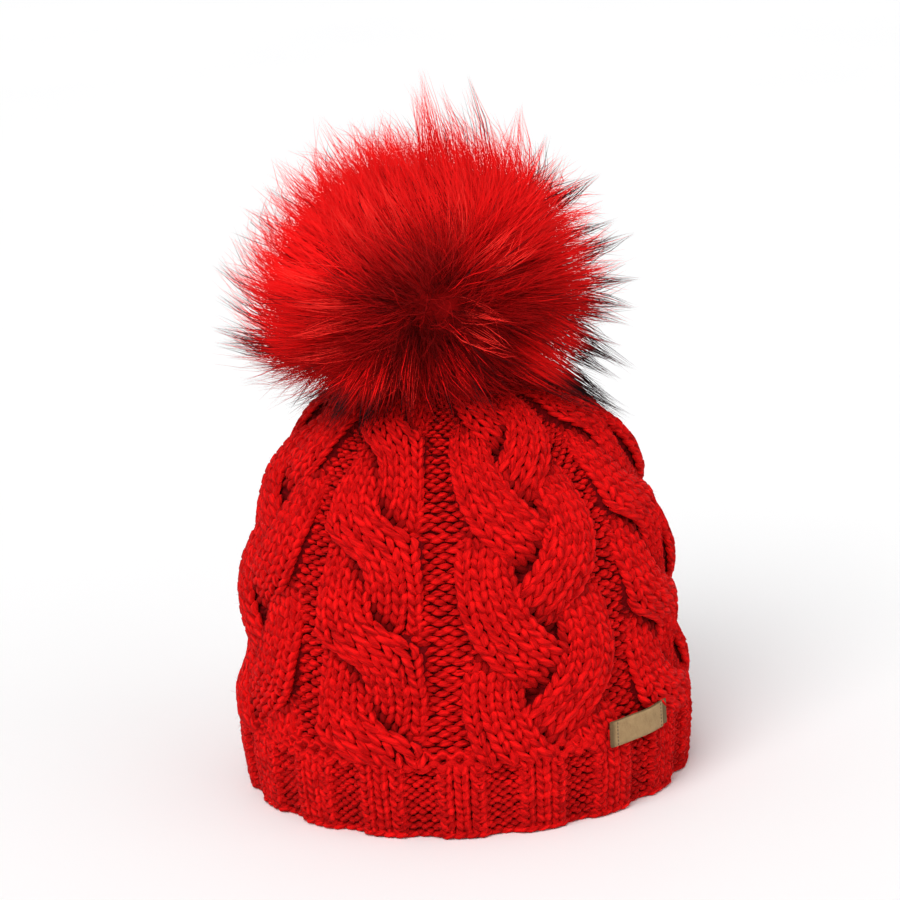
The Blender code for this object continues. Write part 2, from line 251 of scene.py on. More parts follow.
def hairs(centres: Array, radii: Array, tone: Array) -> Surface:
    """Closed three-sided hairs that end in a point.

    Args:
        centres: Path points, of shape (hairs, rings + 1, 3). The last one is the tip.
        radii: Radius at each ring, of shape (hairs, rings).
        tone: One value for each hair.

    Returns:
        The hairs' surface. V goes from the root to the tip.
    """
    count, rings, sides = centres.shape[0], centres.shape[1] - 1, 3
    guide = np.roll(unit(centres[:, -1:] - centres[:, :1]), 1, axis=-1) + 0.3
    _, side, up = ring_frames(centres, np.broadcast_to(guide, centres.shape), False)
    ring = rings_round(centres[:, :-1], radii, side[:, :-1], up[:, :-1], sides)
    stride = rings * sides + 1
    base = np.arange(count)[:, None, None] * stride
    faces = []
    if rings > 1:
        quad, uv = net(rings - 1, sides, rings, rings)
        faces.append(((base + quad).reshape(-1, 4), np.tile(uv, (count, 1, 1))))
    j = np.arange(sides)
    top, last = (rings - 1) * sides, (rings - 1) / rings
    tips = np.stack([np.full(sides, rings * sides), top + j, top + (j + 1) % sides], -1)
    us, vs = ((j + 0.5) / sides, j / sides, (j + 1) / sides), (1.0, last, last)
    tip_uv = np.stack([np.stack([u, np.full(sides, v)], -1) for u, v in zip(us, vs)], 1)
    uv = np.concatenate([tip_uv, np.array([[[0.0, 0.0], [0.5, 0.0], [1.0, 0.0]]])])
    ends = (base + np.concatenate([tips, np.array([[2, 1, 0]])])).reshape(-1, 3)
    faces.append((ends, np.tile(uv, (count, 1, 1))))
    return Surface(np.concatenate([ring, centres[:, -1:]], axis=1).reshape(-1, 3), faces, np.repeat(tone, stride))


def closed_wall(rings: Array) -> Surface:
    """A closed wall from rings, of shape (rings, points round, 3), that go up outside and come back down inside."""
    count, around, _ = rings.shape
    return Surface(rings.reshape(-1, 3), [net(count, around, count, count)], np.full(count * around, 0.5))


# ---------------------------------------------------------------- shader expressions


class Field:
    """A shader socket that takes part in Python arithmetic by adding Math nodes."""

    def __init__(self, shader: "Shader", socket: bpy.types.NodeSocket) -> None:
        """Wraps a socket of a shader's tree."""
        self.shader = shader
        self.socket = socket

    def math(self, operation: str, *operands: Number) -> "Field":
        """The result of a new Math node with these operands, in order."""
        return self.shader.node("ShaderNodeMath", {"operation": operation}, dict(enumerate(operands)))

    def __add__(self, other: Number) -> "Field":
        """self + other."""
        return self.math("ADD", self, other)

    def __radd__(self, other: Number) -> "Field":
        """other + self."""
        return self.math("ADD", other, self)

    def __sub__(self, other: Number) -> "Field":
        """self - other."""
        return self.math("SUBTRACT", self, other)

    def __rsub__(self, other: Number) -> "Field":
        """other - self."""
        return self.math("SUBTRACT", other, self)

    def __mul__(self, other: Number) -> "Field":
        """self * other."""
        return self.math("MULTIPLY", self, other)

    def __rmul__(self, other: Number) -> "Field":
        """other * self."""
        return self.math("MULTIPLY", other, self)

    def __truediv__(self, other: Number) -> "Field":
        """self / other."""
        return self.math("DIVIDE", self, other)

    def __rtruediv__(self, other: Number) -> "Field":
        """other / self."""
        return self.math("DIVIDE", other, self)

    def sin(self) -> "Field":
        """The sine of the value."""
        return self.math("SINE", self)

    def below(self, most: float) -> "Field":
        """The value, or the most that it may be."""
        return self.math("MINIMUM", self, most)

    def clamp(self) -> "Field":
        """The value kept from 0 to 1."""
        return self.math("MAXIMUM", self, 0.0).below(1.0)

    def step(self, low: float, high: float) -> "Field":
        """A smooth step of the value, from 0 at low to 1 at high."""
        values = {"Value": self, "From Min": low, "From Max": high, "To Min": 0.0, "To Max": 1.0}
        return self.shader.node("ShaderNodeMapRange", {"interpolation_type": "SMOOTHSTEP"}, values)


class Shader:
    """A material's node tree, with a Principled surface and a method that adds any other node."""

    def __init__(self, name: str) -> None:
        """Makes a material with an empty Principled surface.

        Args:
            name: The material's name.
        """
        self.material = bpy.data.materials.new(name)
        self.material.use_nodes = True
        self.tree = self.material.node_tree
        self.surface = self.tree.nodes["Principled BSDF"]

    def node(
        self, kind: str, settings: Optional[dict] = None, values: Optional[dict] = None, output: Union[int, str] = 0
    ) -> Field:
        """Adds a node.

        Args:
            kind: The node's type.
            settings: Its properties, which are set first.
            values: What goes into its sockets, by name or index: fields are linked and constants set.
            output: Which output is wanted.

        Returns:
            The wanted output.
        """
        made = self.tree.nodes.new(kind)
        for name, value in (settings or {}).items():
            setattr(made, name, value)
        for key, value in (values or {}).items():
            self.connect(made.inputs[key], value)
        return Field(self, made.outputs[output])

    def connect(self, socket: bpy.types.NodeSocket, value: Union[Number, Colour]) -> None:
        """Links a field to a socket, or sets a constant on it.

        Args:
            socket: The input socket.
            value: A field, a number, a colour or a vector.
        """
        if isinstance(value, Field):
            self.tree.links.new(value.socket, socket)
        elif isinstance(value, tuple) and len(value) == 3 and socket.type == "RGBA":
            socket.default_value = (*value, 1.0)
        else:
            socket.default_value = value

    def mix(self, factor: Number, first: Union[Field, Colour], second: Union[Field, Colour]) -> Field:
        """The first colour where the factor is 0, and the second where it is 1."""
        return self.node("ShaderNodeMix", {"data_type": "RGBA"}, {0: factor, 6: first, 7: second}, 2)

    def vector_math(self, operation: str, *operands: Union[Field, Spot]) -> Field:
        """The result of a new Vector Math node with these operands, in order."""
        return self.node("ShaderNodeVectorMath", {"operation": operation}, dict(enumerate(operands)))

    def uv(self) -> tuple[Field, Field]:
        """The piece's own U and V."""
        pair = self.node("ShaderNodeUVMap", {"uv_map": UV_NAME})
        return tuple(self.node("ShaderNodeSeparateXYZ", None, {0: pair}, axis) for axis in "XY")

    def tone(self) -> Field:
        """The tone kept on the mesh."""
        return self.node("ShaderNodeAttribute", {"attribute_name": TONE}, None, "Fac")

    def place(self) -> Field:
        """The point's own place on the hat."""
        return self.node("ShaderNodeTexCoord", None, None, "Object")

    def vector(self, x: Number, y: Number, z: Number) -> Field:
        """A vector from three numbers."""
        return self.node("ShaderNodeCombineXYZ", None, {0: x, 1: y, 2: z})

    def noise(self, vector: Field, scale: float, detail: float = 2.0) -> Field:
        """Noise from 0 to 1, read at a vector, with a scale and a number of finer layers."""
        return self.node("ShaderNodeTexNoise", None, {"Vector": vector, "Scale": scale, "Detail": detail})

    def bump(self, height: Field, strength: float, distance: float) -> Field:
        """A normal bumped by a relief from 0 to 1, of which 1 stands this distance high in metres."""
        return self.node("ShaderNodeBump", None, {"Strength": strength, "Distance": distance, "Height": height})

    def finish(
        self, colour: Field, roughness: Number, normal: Field, **others: Union[Number, Colour]
    ) -> bpy.types.Material:
        """Feeds the surface.

        Args:
            colour: The base colour.
            roughness: The roughness.
            normal: The bumped normal.
            others: Other sockets of the surface by name, with underscores for spaces.

        Returns:
            The finished material.
        """
        values = {"Base Color": colour, "Roughness": roughness, "Normal": normal, **others}
        for name, value in values.items():
            self.connect(self.surface.inputs[name.replace("_", " ")], value)
        return self.material


# ---------------------------------------------------------------- finishes


@dataclass(frozen=True)
class WoolFinish:
    """Plied wool: streaks of fibre along the yarn, with a soft fuzzy sheen."""

    # painted_shade: the painted shade colour that low tones mix the yarn towards
    painted_shade: Colour = (0.14, 0.0002, 0.0004)
    middle: Colour = (0.30, 0.0005, 0.0008)
    bright: Colour = (0.90, 0.006, 0.006)
    plies: float = 3.0
    twist: float = 0.8
    patch_scale: float = 42.0
    ply_share: float = 0.20
    fibre_share: float = 2.6
    patch_share: float = 0.30
    dark_share: float = 1.05
    roughness: float = 0.85
    gloss: float = 0.07
    sheen: float = 0.05
    relief: float = 0.0008

    def material(self, name: str) -> bpy.types.Material:
        """The yarn's material.

        The ply wave is sin(2 pi (plies u + twist v)), and fibres are noise stretched along V. A tone near 0 mixes
        the yarn towards the painted_shade colour, as painted shade where neighbouring strands stand higher and
        towards the hem.

        Args:
            name: The material's name.

        Returns:
            The material.
        """
        shader = Shader(name)
        u, v = shader.uv()
        tone = shader.tone()
        ply = ((u * self.plies + v * self.twist) * TAU).sin() * 0.5 + 0.5
        fibre = shader.noise(shader.vector(u * 6.5 + v * 1.2, v * 1.8, tone * 60.0), 1.0, 3.0)
        patch = shader.noise(shader.place(), self.patch_scale)
        share = ply * self.ply_share + fibre * self.fibre_share + patch * self.patch_share - self.dark_share
        colour = shader.mix(share.clamp(), self.middle, self.bright)
        return shader.finish(
            # painted shade: low tones mix the yarn towards the painted_shade colour
            shader.mix(tone.step(0.0, 0.8), self.painted_shade, colour),
            self.roughness,
            shader.bump(ply * 0.30 + fibre * 0.70, 0.85, self.relief),
            Specular_IOR_Level=self.gloss,
            Sheen_Weight=self.sheen,
            Sheen_Roughness=0.5,
            Sheen_Tint=(1.0, 0.12, 0.10),
        )


@dataclass(frozen=True)
class BackingFinish:
    """The knit's inner face and the depth between its stitches, coloured dark red as painted shade."""

    # painted shade: both backing colours are far darker than the yarn, for the shade between the stitches and inside
    # the hat
    painted_shade: Colour = (0.06, 0.0003, 0.0008)
    bright: Colour = (0.22, 0.001, 0.003)
    stitches_round: float = 90.0
    courses: float = 110.0
    grain: float = 900.0
    relief: float = 0.0012

    def material(self, name: str) -> bpy.types.Material:
        """The backing's material: purl bumps as sin(U) times sin(V), roughened with noise, in dark reds that paint
        shade.

        Args:
            name: The material's name.

        Returns:
            The material.
        """
        shader = Shader(name)
        u, v = shader.uv()
        wave = (u * (TAU * self.stitches_round)).sin() * (v * (TAU * self.courses)).sin() * 0.5 + 0.5
        grain = shader.noise(shader.place(), self.grain, 3.0)
        colour = shader.mix((wave * 0.6 + grain * 0.4).clamp(), self.painted_shade, self.bright)
        normal = shader.bump(wave * 0.7 + grain * 0.3, 0.6, self.relief)
        return shader.finish(colour, 0.9, normal, Specular_IOR_Level=0.08)


@dataclass(frozen=True)
class FurFinish:
    """Dyed fur: dark at the root, vivid along the hair, and its own colour at the tip."""

    root: Colour = (0.055, 0.0001, 0.0002)
    middle: Colour = (0.96, 0.002, 0.003)
    tip: Colour = (1.0, 0.016, 0.014)
    # highlight_streak: the painted highlight colour of the streak hairs
    highlight_streak: Colour = (1.0, 0.034, 0.024)
    dark_tip: Colour = (0.010, 0.006, 0.007)
    roughness: float = 0.55
    roundness: float = 0.72
    gloss: float = 0.04
    sheen: float = 0.8
    # painted glow: emission that stands in for light scattered through the hair
    glow: Colour = (1.0, 0.020, 0.018)
    glow_strength: float = 0.55
    lean: Spot = (0.0, -0.30, 0.50)
    centre: Spot = (-0.007, 0.0, 0.210)
    patch_scale: float = 60.0

    def material(self, name: str) -> bpy.types.Material:
        """The hair's material.

        The colour goes from root to middle to tip along V. Tone from 0 to 1.3 is the hair's painted brightness: below
        1 it is painted shade, which mixes the hair towards the root colour, and above 0.6 it feeds the painted glow.
        2 marks a black tip and 3 a painted highlight streak. Light that scatters from hair to hair, and through the
        thin tips, is painted as a weak glow that grows towards the tip and with tones above 0.6. The normal leans
        from the hair's own to that of the whole ball, so that the fur is lit as one soft mass.

        Args:
            name: The material's name.

        Returns:
            The material.
        """
        shader = Shader(name)
        _, v = shader.uv()
        tone = shader.tone()
        patch = shader.noise(shader.place(), self.patch_scale)
        colour = shader.mix(v.step(0.0, 0.50), self.root, self.middle)
        colour = shader.mix(v.step(0.62, 1.0), colour, self.tip)
        shade = (tone.below(1.0) * (0.80 + patch * 0.4)).clamp()
        # painted shade: a low tone mixes the hair towards the root colour
        colour = shader.mix(shade, self.root, colour)
        # painted highlight streaks on hairs of tone 3, which also glow fully
        colour = shader.mix(tone.step(2.4, 2.6) * v.step(0.15, 0.5), colour, self.highlight_streak)
        black = tone.step(1.4, 1.6) * (1.0 - tone.step(2.2, 2.4)) * v.step(0.56, 0.74)
        colour = shader.mix(black, colour, self.dark_tip)
        # where the painted glow shows: towards the tip, with tones above 0.6, not on black tips
        lit = v.step(0.30, 1.0) * tone.step(0.60, 1.30) * (1.0 - black)
        own = shader.node("ShaderNodeNewGeometry", None, None, "Normal")
        ball = shader.vector_math("NORMALIZE", shader.vector_math("SUBTRACT", shader.place(), self.centre))
        leaned = shader.vector_math("ADD", ball, self.lean)
        mixed = shader.node("ShaderNodeMix", {"data_type": "VECTOR"}, {0: self.roundness, 4: own, 5: leaned}, 1)
        return shader.finish(
            colour,
            self.roughness,
            shader.vector_math("NORMALIZE", mixed),
            Specular_IOR_Level=self.gloss,
            Sheen_Weight=self.sheen,
            Sheen_Roughness=0.35,
            Sheen_Tint=(1.0, 0.06, 0.05),
            # painted glow
            Emission_Color=shader.mix(lit, (0.0, 0.0, 0.0), self.glow),
            Emission_Strength=self.glow_strength,
        )


@dataclass(frozen=True)
class TapeFinish:
    """Woven cotton tape, with warp ribs along it and picks across."""

    # fold: the painted shade colour at the fold and on the back layer
    fold: Colour = (0.055, 0.030, 0.012)
    shade: Colour = (0.168, 0.098, 0.040)
    light: Colour = (0.53, 0.357, 0.18)
    warps: float = 22.0
    wefts: float = 150.0

    def material(self, name: str) -> bpy.types.Material:
        """The tape's material: a plain weave as the sum of two waves and of slubs from noise.

        Args:
            name: The material's name.

        Returns:
            The material.
        """
        shader = Shader(name)
        u, v = shader.uv()
        warp = (v * (TAU * self.warps)).sin() * 0.5 + 0.5
        weft = (u * (TAU * self.wefts)).sin() * 0.5 + 0.5
        slub = shader.noise(shader.vector(u * 90.0, v * 9.0, 0.0), 1.0, 3.0)
        grime = shader.noise(shader.place(), 260.0, 3.0)
        weave = warp * 0.45 + weft * 0.25 + slub * 0.3
        colour = shader.mix((weave * 0.9 + grime * 0.55 - 0.22).clamp(), self.shade, self.light)
        # painted shade: a low tone mixes the tape towards the fold colour
        colour = shader.mix(shader.tone(), self.fold, colour)
        return shader.finish(colour, 0.85, shader.bump(weave, 0.6, 0.0002), Specular_IOR_Level=0.2)


@dataclass(frozen=True)
class PlainFinish:
    """A smooth piece with a little grain in its colour and roughness."""

    shade: Colour
    light: Colour
    roughness: float = 0.5
    grain: float = 400.0

    def material(self, name: str) -> bpy.types.Material:
        """The piece's material.

        Args:
            name: The material's name.

        Returns:
            The material.
        """
        shader = Shader(name)
        grain = shader.noise(shader.place(), self.grain, 3.0)
        rough = grain * 0.15 + (self.roughness - 0.07)
        return shader.finish(shader.mix(grain, self.shade, self.light), rough, shader.bump(grain, 0.1, 0.0002))


# ---------------------------------------------------------------- the knit


@dataclass
class KnitGround:
    """The purl ground of the hat: a slightly bellied side, then a dome, turned about Z."""

    hem_radius: float = 0.091
    shoulder_radius: float = 0.0868
    shoulder_height: float = 0.055
    side_belly: float = 0.0035
    crown_height: float = 0.174
    dome_power: float = 2.55
    wall: float = 0.004
    columns: int = 104
    row: float = 0.0041
    band_height: float = 0.0313

    def __post_init__(self) -> None:
        """Works out the profile from the hem to the pole as arrays of distance, radius and height."""
        side = np.linspace(0.0, self.shoulder_height, 300, endpoint=False)
        turn = np.sin(np.linspace(0.0, math.pi / 2, 900))
        self.height = np.concatenate([side, self.shoulder_height + (self.crown_height - self.shoulder_height) * turn])
        self.radius = self.radius_at(self.height)
        steps = np.hypot(np.diff(self.radius), np.diff(self.height))
        self.along = np.concatenate([[0.0], np.cumsum(steps)])
        self.start = float(np.interp(self.band_height, self.height[:600], self.along[:600]))
        self.column = TAU / self.columns

    def radius_at(self, height: Array, inset: float = 0.0) -> Array:
        """The ground's radius at a height.

        On the side it is a straight line plus belly * sin^2; on the dome it is shoulder * sqrt(1 - t^power).

        Args:
            height: Heights above the hem.
            inset: How far the surface is moved inwards.

        Returns:
            The radius at each height.
        """
        along = np.clip(height / self.shoulder_height, 0.0, 1.0)
        side = self.hem_radius + (self.shoulder_radius - self.hem_radius) * along
        side = side + self.side_belly * np.sin(math.pi * along) ** 2 - inset
        top = self.crown_height - inset
        rise = np.clip((height - self.shoulder_height) / (top - self.shoulder_height), 0.0, 1.0)
        dome = (self.shoulder_radius - inset) * np.sqrt(1.0 - rise**self.dome_power)
        return np.where(height <= self.shoulder_height, side, dome)

    def narrowed(self, along: Array, full: float, least: float) -> Array:
        """The ground's radius as a share of a full one, kept from the least to 1."""
        return np.clip(np.interp(along, self.along, self.radius) / full, least, 1.0)

    def slope(self, along: Array) -> tuple[Array, Array]:
        """The ground's normal, from the differences of radius and height over a short step.

        Args:
            along: Distance from the hem along the fabric.

        Returns:
            (outward part, upward part).
        """
        step = 5e-4
        across = np.interp(along + step, self.along, self.radius) - np.interp(along - step, self.along, self.radius)
        rise = np.interp(along + step, self.along, self.height) - np.interp(along - step, self.along, self.height)
        length = np.maximum(np.hypot(across, rise), 1e-9)
        return rise / length, -across / length

    def point(self, angle: Array, along: Array, lift: Array) -> Array:
        """Points on the hat.

        Args:
            angle: Angle from the front.
            along: Distance from the hem along the fabric.
            lift: Distance out from the ground, along its normal.

        Returns:
            Points with a last axis of 3.
        """
        out, up = self.slope(along)
        radius = np.interp(along, self.along, self.radius) + lift * out
        height = np.interp(along, self.along, self.height) + lift * up
        return about_axis(radius, angle, height)

    def normal(self, angle: Array, along: Array) -> Array:
        """The ground's outward normal."""
        out, up = self.slope(along)
        return about_axis(out, angle, up)

    def laid(
        self, place: tuple[Array, Array, Array], radii: Array, tone: Array, shown: Optional[Array] = None
    ) -> Surface:
        """Lays short lengths of yarn on the hat.

        Args:
            place: (angle, distance along, lift) of the points of each length.
            radii: Radius at each point.
            tone: One value for each length.
            shown: Which of the lengths are made, or all of them.

        Returns:
            The yarn's surface.
        """
        angle, along, lift = place
        centres, normals = self.point(angle, along, lift), self.normal(angle, along)
        kept = slice(None) if shown is None else shown
        return tubes(centres[kept], radii[kept], normals[kept], YARN_SIDES, tone[kept])

    def ceiling(self, points: Array, clear: float) -> Array:
        """The lowest height that fur may have over each point, above the dome and its cables.

        Args:
            points: Points near the hat.
            clear: How far above the knit the fur stays.

        Returns:
            A height for each point, very low outside the dome.
        """
        distance = np.hypot(points[..., 0], points[..., 1])
        share = np.clip(distance / (self.shoulder_radius + clear), 0.0, 1.0)
        rise = (1.0 - share**2) ** (1.0 / self.dome_power)
        dome = self.shoulder_height + (self.crown_height - self.shoulder_height) * rise
        return np.where(distance < self.shoulder_radius + clear, dome + clear, -1.0)


class CableKind(Enum):
    """The two kinds of cable round the hat."""

    PLAIT = "plait"
    ROPE = "rope"


@dataclass(frozen=True)
class Cable:
    """A cable's strands, as waves of their sideways place and of their height."""

    kind: CableKind
    middle: float
    strands: int
    reach: float
    period: float
    lead: float
    haste: float
    half_width: float = 2.35
    wales: int = 4
    seat: float = 0.0016
    swing: float = 0.0028
    thickness: float = 0.0033
    arch: float = 2.1
    start_rows: float = 3.0
    start_share: float = 0.7
    column_to_row: float = 1.28

    def wave(self, strand: Array, row: Array) -> tuple[Array, Array, Array]:
        """A strand's sideways place in columns, its height from -1 (under) to 1 (over), and its lean.

        A plait's strand goes as -cos(p) sideways and -sin(2p) in height, and a rope's as -sin(p) and cos(p). The
        sideways wave w becomes tanh(haste * w) / tanh(haste), which crosses faster and rests longer. The lean is
        how much wider the strand is along its row than across itself, sqrt(1 + slope^2).

        Args:
            strand: The strand's number.
            row: Rows above the band.

        Returns:
            (sideways place, height, lean).
        """
        phase = TAU * ((row - self.lead) / self.period + strand / self.strands)
        if self.kind is CableKind.PLAIT:
            phase = phase - math.pi / 2
            wave, rate, height = -np.cos(phase), np.sin(phase), -np.sin(2 * phase)
        else:
            wave, rate, height = -np.sin(phase), -np.cos(phase), np.cos(phase)
        scale = self.reach / math.tanh(self.haste)
        slope = scale * self.haste * rate / np.cosh(self.haste * wave) ** 2 * TAU / self.period * self.column_to_row
        return scale * np.tanh(self.haste * wave), height, np.sqrt(1.0 + slope**2)

    def lift(self, strand: Array, row: Array, across: Array) -> Array:
        """Height of a strand's back above the ground: the height of its sides, plus a rounded arch across it.

        Args:
            strand: The strand's number.
            row: Rows above the band.
            across: Columns from the cable's middle.

        Returns:
            The lift, below the ground beside the strand.
        """
        place, height, lean = self.wave(strand, row)
        share = np.abs(across - place) / (self.half_width * lean)
        arch = (1.0 - np.clip(share, 0.0, 1.0) ** self.arch) ** (1.0 / self.arch)
        start = self.start_share + (1.0 - self.start_share) * np.clip(row / self.start_rows, 0.0, 1.0)
        back = (self.seat + self.swing * height + self.thickness * arch) * start
        return np.where(share < 1.0, back, UNSEEN)

    def relief(self, row: Array, across: Array, leave_out: Optional[Array] = None) -> Array:
        """The highest back of all the strands, or of all but one.

        Args:
            row: Rows above the band.
            across: Columns from the cable's middle.
            leave_out: The number of a strand that isn't counted.

        Returns:
            The relief above the ground.
        """
        tallest = np.full(np.broadcast(row, across).shape, UNSEEN)
        for strand in range(self.strands):
            lift = self.lift(np.float64(strand), row, across)
            if leave_out is not None:
                lift = np.where(leave_out == strand, UNSEEN, lift)
            tallest = np.maximum(tallest, lift)
        return tallest


@dataclass
class CableKnit:
    """The crown: plaits and ropes of knit stitches in channels of purl courses, on a backing wall coloured dark as
    painted shade.
    """

    ground: KnitGround
    wool: WoolFinish
    backing: BackingFinish
    repeats: int = 4
    plait_turn: float = math.radians(20.8)
    rope_turn: float = math.radians(-25.3)
    plait_columns: float = 6.0
    rope_columns: float = 4.0
    gather_radius: float = 0.040
    full_radius: float = 0.075
    last_row: int = 41
    leg_radius: float = 0.00172
    leg_span: float = 1.45
    leg_inner: float = 0.03
    leg_outer: float = 0.36
    sink: float = 0.0013
    tuck: float = 0.0013
    hidden: float = 0.0008
    cable_columns: float = 8.0
    # height difference over which the painted crevice shade goes from none to full
    crevice_shade_depth: float = 0.003
    purl_radius: float = 0.00136
    purl_pitch: float = 1.33
    purl_length: float = 1.36
    purl_swing: float = 0.10
    purl_covered: float = 0.0016
    channel_half: float = 3.6
    backing_sink: float = 0.0030
    backing_rings: int = 48
    gather_end: float = 0.0075
    tie_hole: float = 0.0033
    leg_profile: tuple[float, ...] = (0.60, 1.0, 1.0, 0.55)
    lift_scatter: float = 0.00012
    seed: int = 11

    def __post_init__(self) -> None:
        """Lays out the cables round the hat."""
        self.quarter = TAU / self.repeats
        plait = {"strands": 3, "reach": 3.9, "period": 36.0, "lead": 9.0, "haste": 0.9}
        rope = {"strands": 2, "reach": 2.15, "period": 20.3, "lead": 1.8, "haste": 1.5}
        self.cables = []
        for turn in range(self.repeats):
            self.cables.append(Cable(CableKind.PLAIT, self.plait_turn + turn * self.quarter, **plait))
            self.cables.append(Cable(CableKind.ROPE, self.rope_turn + turn * self.quarter, **rope))
        self.rng = np.random.default_rng(self.seed)

    def stitches(self, cable: Cable) -> Surface:
        """The knit stitches of one cable, two legs each.

        A leg starts near the wale's middle and spreads outwards as it goes up, tucks in at both ends, and is
        carried sideways and up with its strand. It is left out where another strand covers it, and painted darker,
        as painted shade, where other strands stand higher beside it.

        Args:
            cable: The cable.

        Returns:
            The legs as one surface.
        """
        wales = np.arange(cable.wales) - (cable.wales - 1) / 2
        strand, wale, row, hand = columns_of(
            np.arange(cable.strands), wales, np.arange(self.last_row), np.array([-1.0, 1.0])
        )
        share = LEG_SHARES[None, :]
        rows = row + 0.5 + self.leg_span * (share - 0.5)
        spread = hand * (self.leg_inner + (self.leg_outer - self.leg_inner) * smooth(share, -0.2, 0.9))
        place, _, lean = cable.wave(strand, rows)
        across = place + (wale + spread) * (2.0 * cable.half_width / cable.wales) * lean
        along = self.ground.start + rows * self.ground.row
        lift = cable.lift(strand, rows, across)
        own, other = lift[:, 1:3].mean(1), cable.relief(rows, across, strand)[:, 1:3].mean(1)
        bend = self.tuck * (np.sin(math.pi * share) ** 0.7 - 0.75)
        jitter = self.rng.normal(0.0, 1.0, (len(row), 3))
        # painted shade: how much higher the neighbouring strands stand, which darkens the leg's tone
        crevice_shade = np.zeros(len(row))
        for aside in (-1.3, 1.3):
            for ahead in (-1.2, 0.0, 1.2):
                beside = cable.relief(rows + ahead, across + aside, strand)[:, 1:3].mean(1)
                crevice_shade += np.clip((beside - own) / self.crevice_shade_depth, 0.0, 1.0) / 6.0
        gathered = self.ground.narrowed(along, self.gather_radius, 0.0)
        lift = lift * gathered - self.sink + bend + self.lift_scatter * jitter[:, :1]
        angle = cable.middle + (across + 0.025 * jitter[:, 1:2]) * self.ground.column
        narrow = self.ground.narrowed(along, self.full_radius, 0.55)
        radii = self.leg_radius * np.array(self.leg_profile)[None, :] * narrow * (1.0 + 0.05 * jitter[:, 2:3])
        # tone: painted shade where neighbouring strands stand higher, times a random tone
        tone = np.clip(1.0 - 1.9 * crevice_shade, 0.0, 1.0) * self.rng.uniform(0.75, 1.0, len(row))
        return self.ground.laid((angle, along, lift), radii, tone, own > other - self.hidden)

    def courses(self) -> Surface:
        """The purl channels: two rows of lens-shaped bumps to a course, laid like bricks.

        A bump is the arc across = middle + length * (t - 1/2), along = row + swing * (1 - (2t - 1)^2), which bends
        down in every second row. A bump is left out where a cable covers it.

        Returns:
            The bumps as one surface.
        """
        side = np.array([-1.0, 1.0])
        near = self.plait_turn + side * self.plait_columns * self.ground.column
        far = self.rope_turn - side * self.rope_columns * self.ground.column + np.where(side < 0, 0.0, self.quarter)
        middles = np.arange(self.repeats)[:, None] * self.quarter + (near + far) / 2
        middle, half_row, place = columns_of(middles.ravel(), np.arange(-1, 2 * self.last_row + 2), np.arange(-3, 4))
        odd = half_row % 2
        jitter = self.rng.normal(0.0, 1.0, (len(middle), 5))
        share = BUMP_SHARES[None, :]
        across = (place + 0.5 * odd + 0.05 * jitter[:, :1]) * self.purl_pitch
        across = across + self.purl_length * (share - 0.5)
        bend = self.purl_swing * (1.0 - 2.0 * odd) * (1.0 - (2.0 * share - 1.0) ** 2 - 0.5)
        rows = half_row / 2 + bend + 0.04 * jitter[:, 1:2] + 0.16 * jitter[:, 2:3] * (share - 0.5)
        along = self.ground.start + rows * self.ground.row
        angle = middle + across * self.ground.column
        relief = self.relief(angle, along)
        covered = np.minimum(relief[:, 0], relief[:, 3]) > self.purl_covered
        edge = np.abs(across.mean(1)) > self.channel_half
        lift = -0.0007 + 0.0010 * np.sin(math.pi * share) + self.lift_scatter * jitter[:, 3:4]
        narrow = 0.4 + 0.6 * self.ground.narrowed(along, self.full_radius, 0.5)
        radii = self.purl_radius * BUMP_PROFILE[None, :] * narrow * (1.0 + 0.07 * jitter[:, 4:5])
        tone = self.rng.uniform(0.5, 0.85, len(middle))
        return self.ground.laid((angle, along, lift), radii, tone, ~(covered | edge))

    def relief(self, angle: Array, along: Array) -> Array:
        """The cables' relief anywhere on the crown, less of it as the dome narrows to the gather.

        Args:
            angle: Angle from the front.
            along: Distance along the fabric.

        Returns:
            The relief above the purl ground.
        """
        rows = (along - self.ground.start) / self.ground.row
        tallest = np.zeros(np.broadcast(angle, along).shape)
        for cable in self.cables:
            across = ((angle - cable.middle + math.pi) % TAU - math.pi) / self.ground.column
            near = np.abs(across) < self.cable_columns
            tallest = np.maximum(tallest, np.where(near, cable.relief(rows, across), 0.0))
        return tallest * self.ground.narrowed(along, self.gather_radius, 0.0)

    def wall(self) -> Surface:
        """The backing: a wall that follows the relief from behind, and is plain inside.

        Returns:
            The wall's surface.
        """
        ground = self.ground
        around = ground.columns * 2
        angle = np.arange(around) * TAU / around
        gather_along = float(np.interp(-self.gather_end, -ground.radius, ground.along))
        along = np.linspace(ground.start, gather_along, self.backing_rings)[:, None]
        lift = np.maximum(self.relief(angle[None, :], along) - self.backing_sink, -0.0012)
        outer = ground.point(np.broadcast_to(angle, lift.shape), along, lift)
        inside_height = np.linspace(ground.crown_height - ground.wall - 1e-6, ground.band_height, 14)
        radius = ground.radius_at(inside_height, ground.wall)
        radius[0] = self.gather_end
        top, low = ground.crown_height - 0.0012, ground.crown_height - ground.wall
        rim = np.array([[self.gather_end, top], [self.tie_hole, top], [self.tie_hole, low]])
        section = np.concatenate([rim, np.stack([radius, inside_height], -1)])
        out, up = section[:, :1], section[:, 1:]
        inner = about_axis(out, angle, up)
        return closed_wall(np.concatenate([outer, inner]))

    def build(self) -> list[Surface]:
        """Builds every piece of the crown.

        Returns:
            The yarn surfaces, for the fuzz that grows on them.
        """
        yarn = self.wool.material("red_wool_yarn")
        made = {}
        for number, cable in enumerate(self.cables):
            made[f"{cable.kind.value}_{number // 2 + 1}"] = self.stitches(cable)
        made["purl_channels"] = self.courses()
        for name, surface in made.items():
            surface.build(name, yarn, "red_wool")
        wall = self.wall().build("crown_backing", self.backing.material("red_wool_inside_painted_shade"), "red_wool")
        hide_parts("crown")
        return list(made.values())


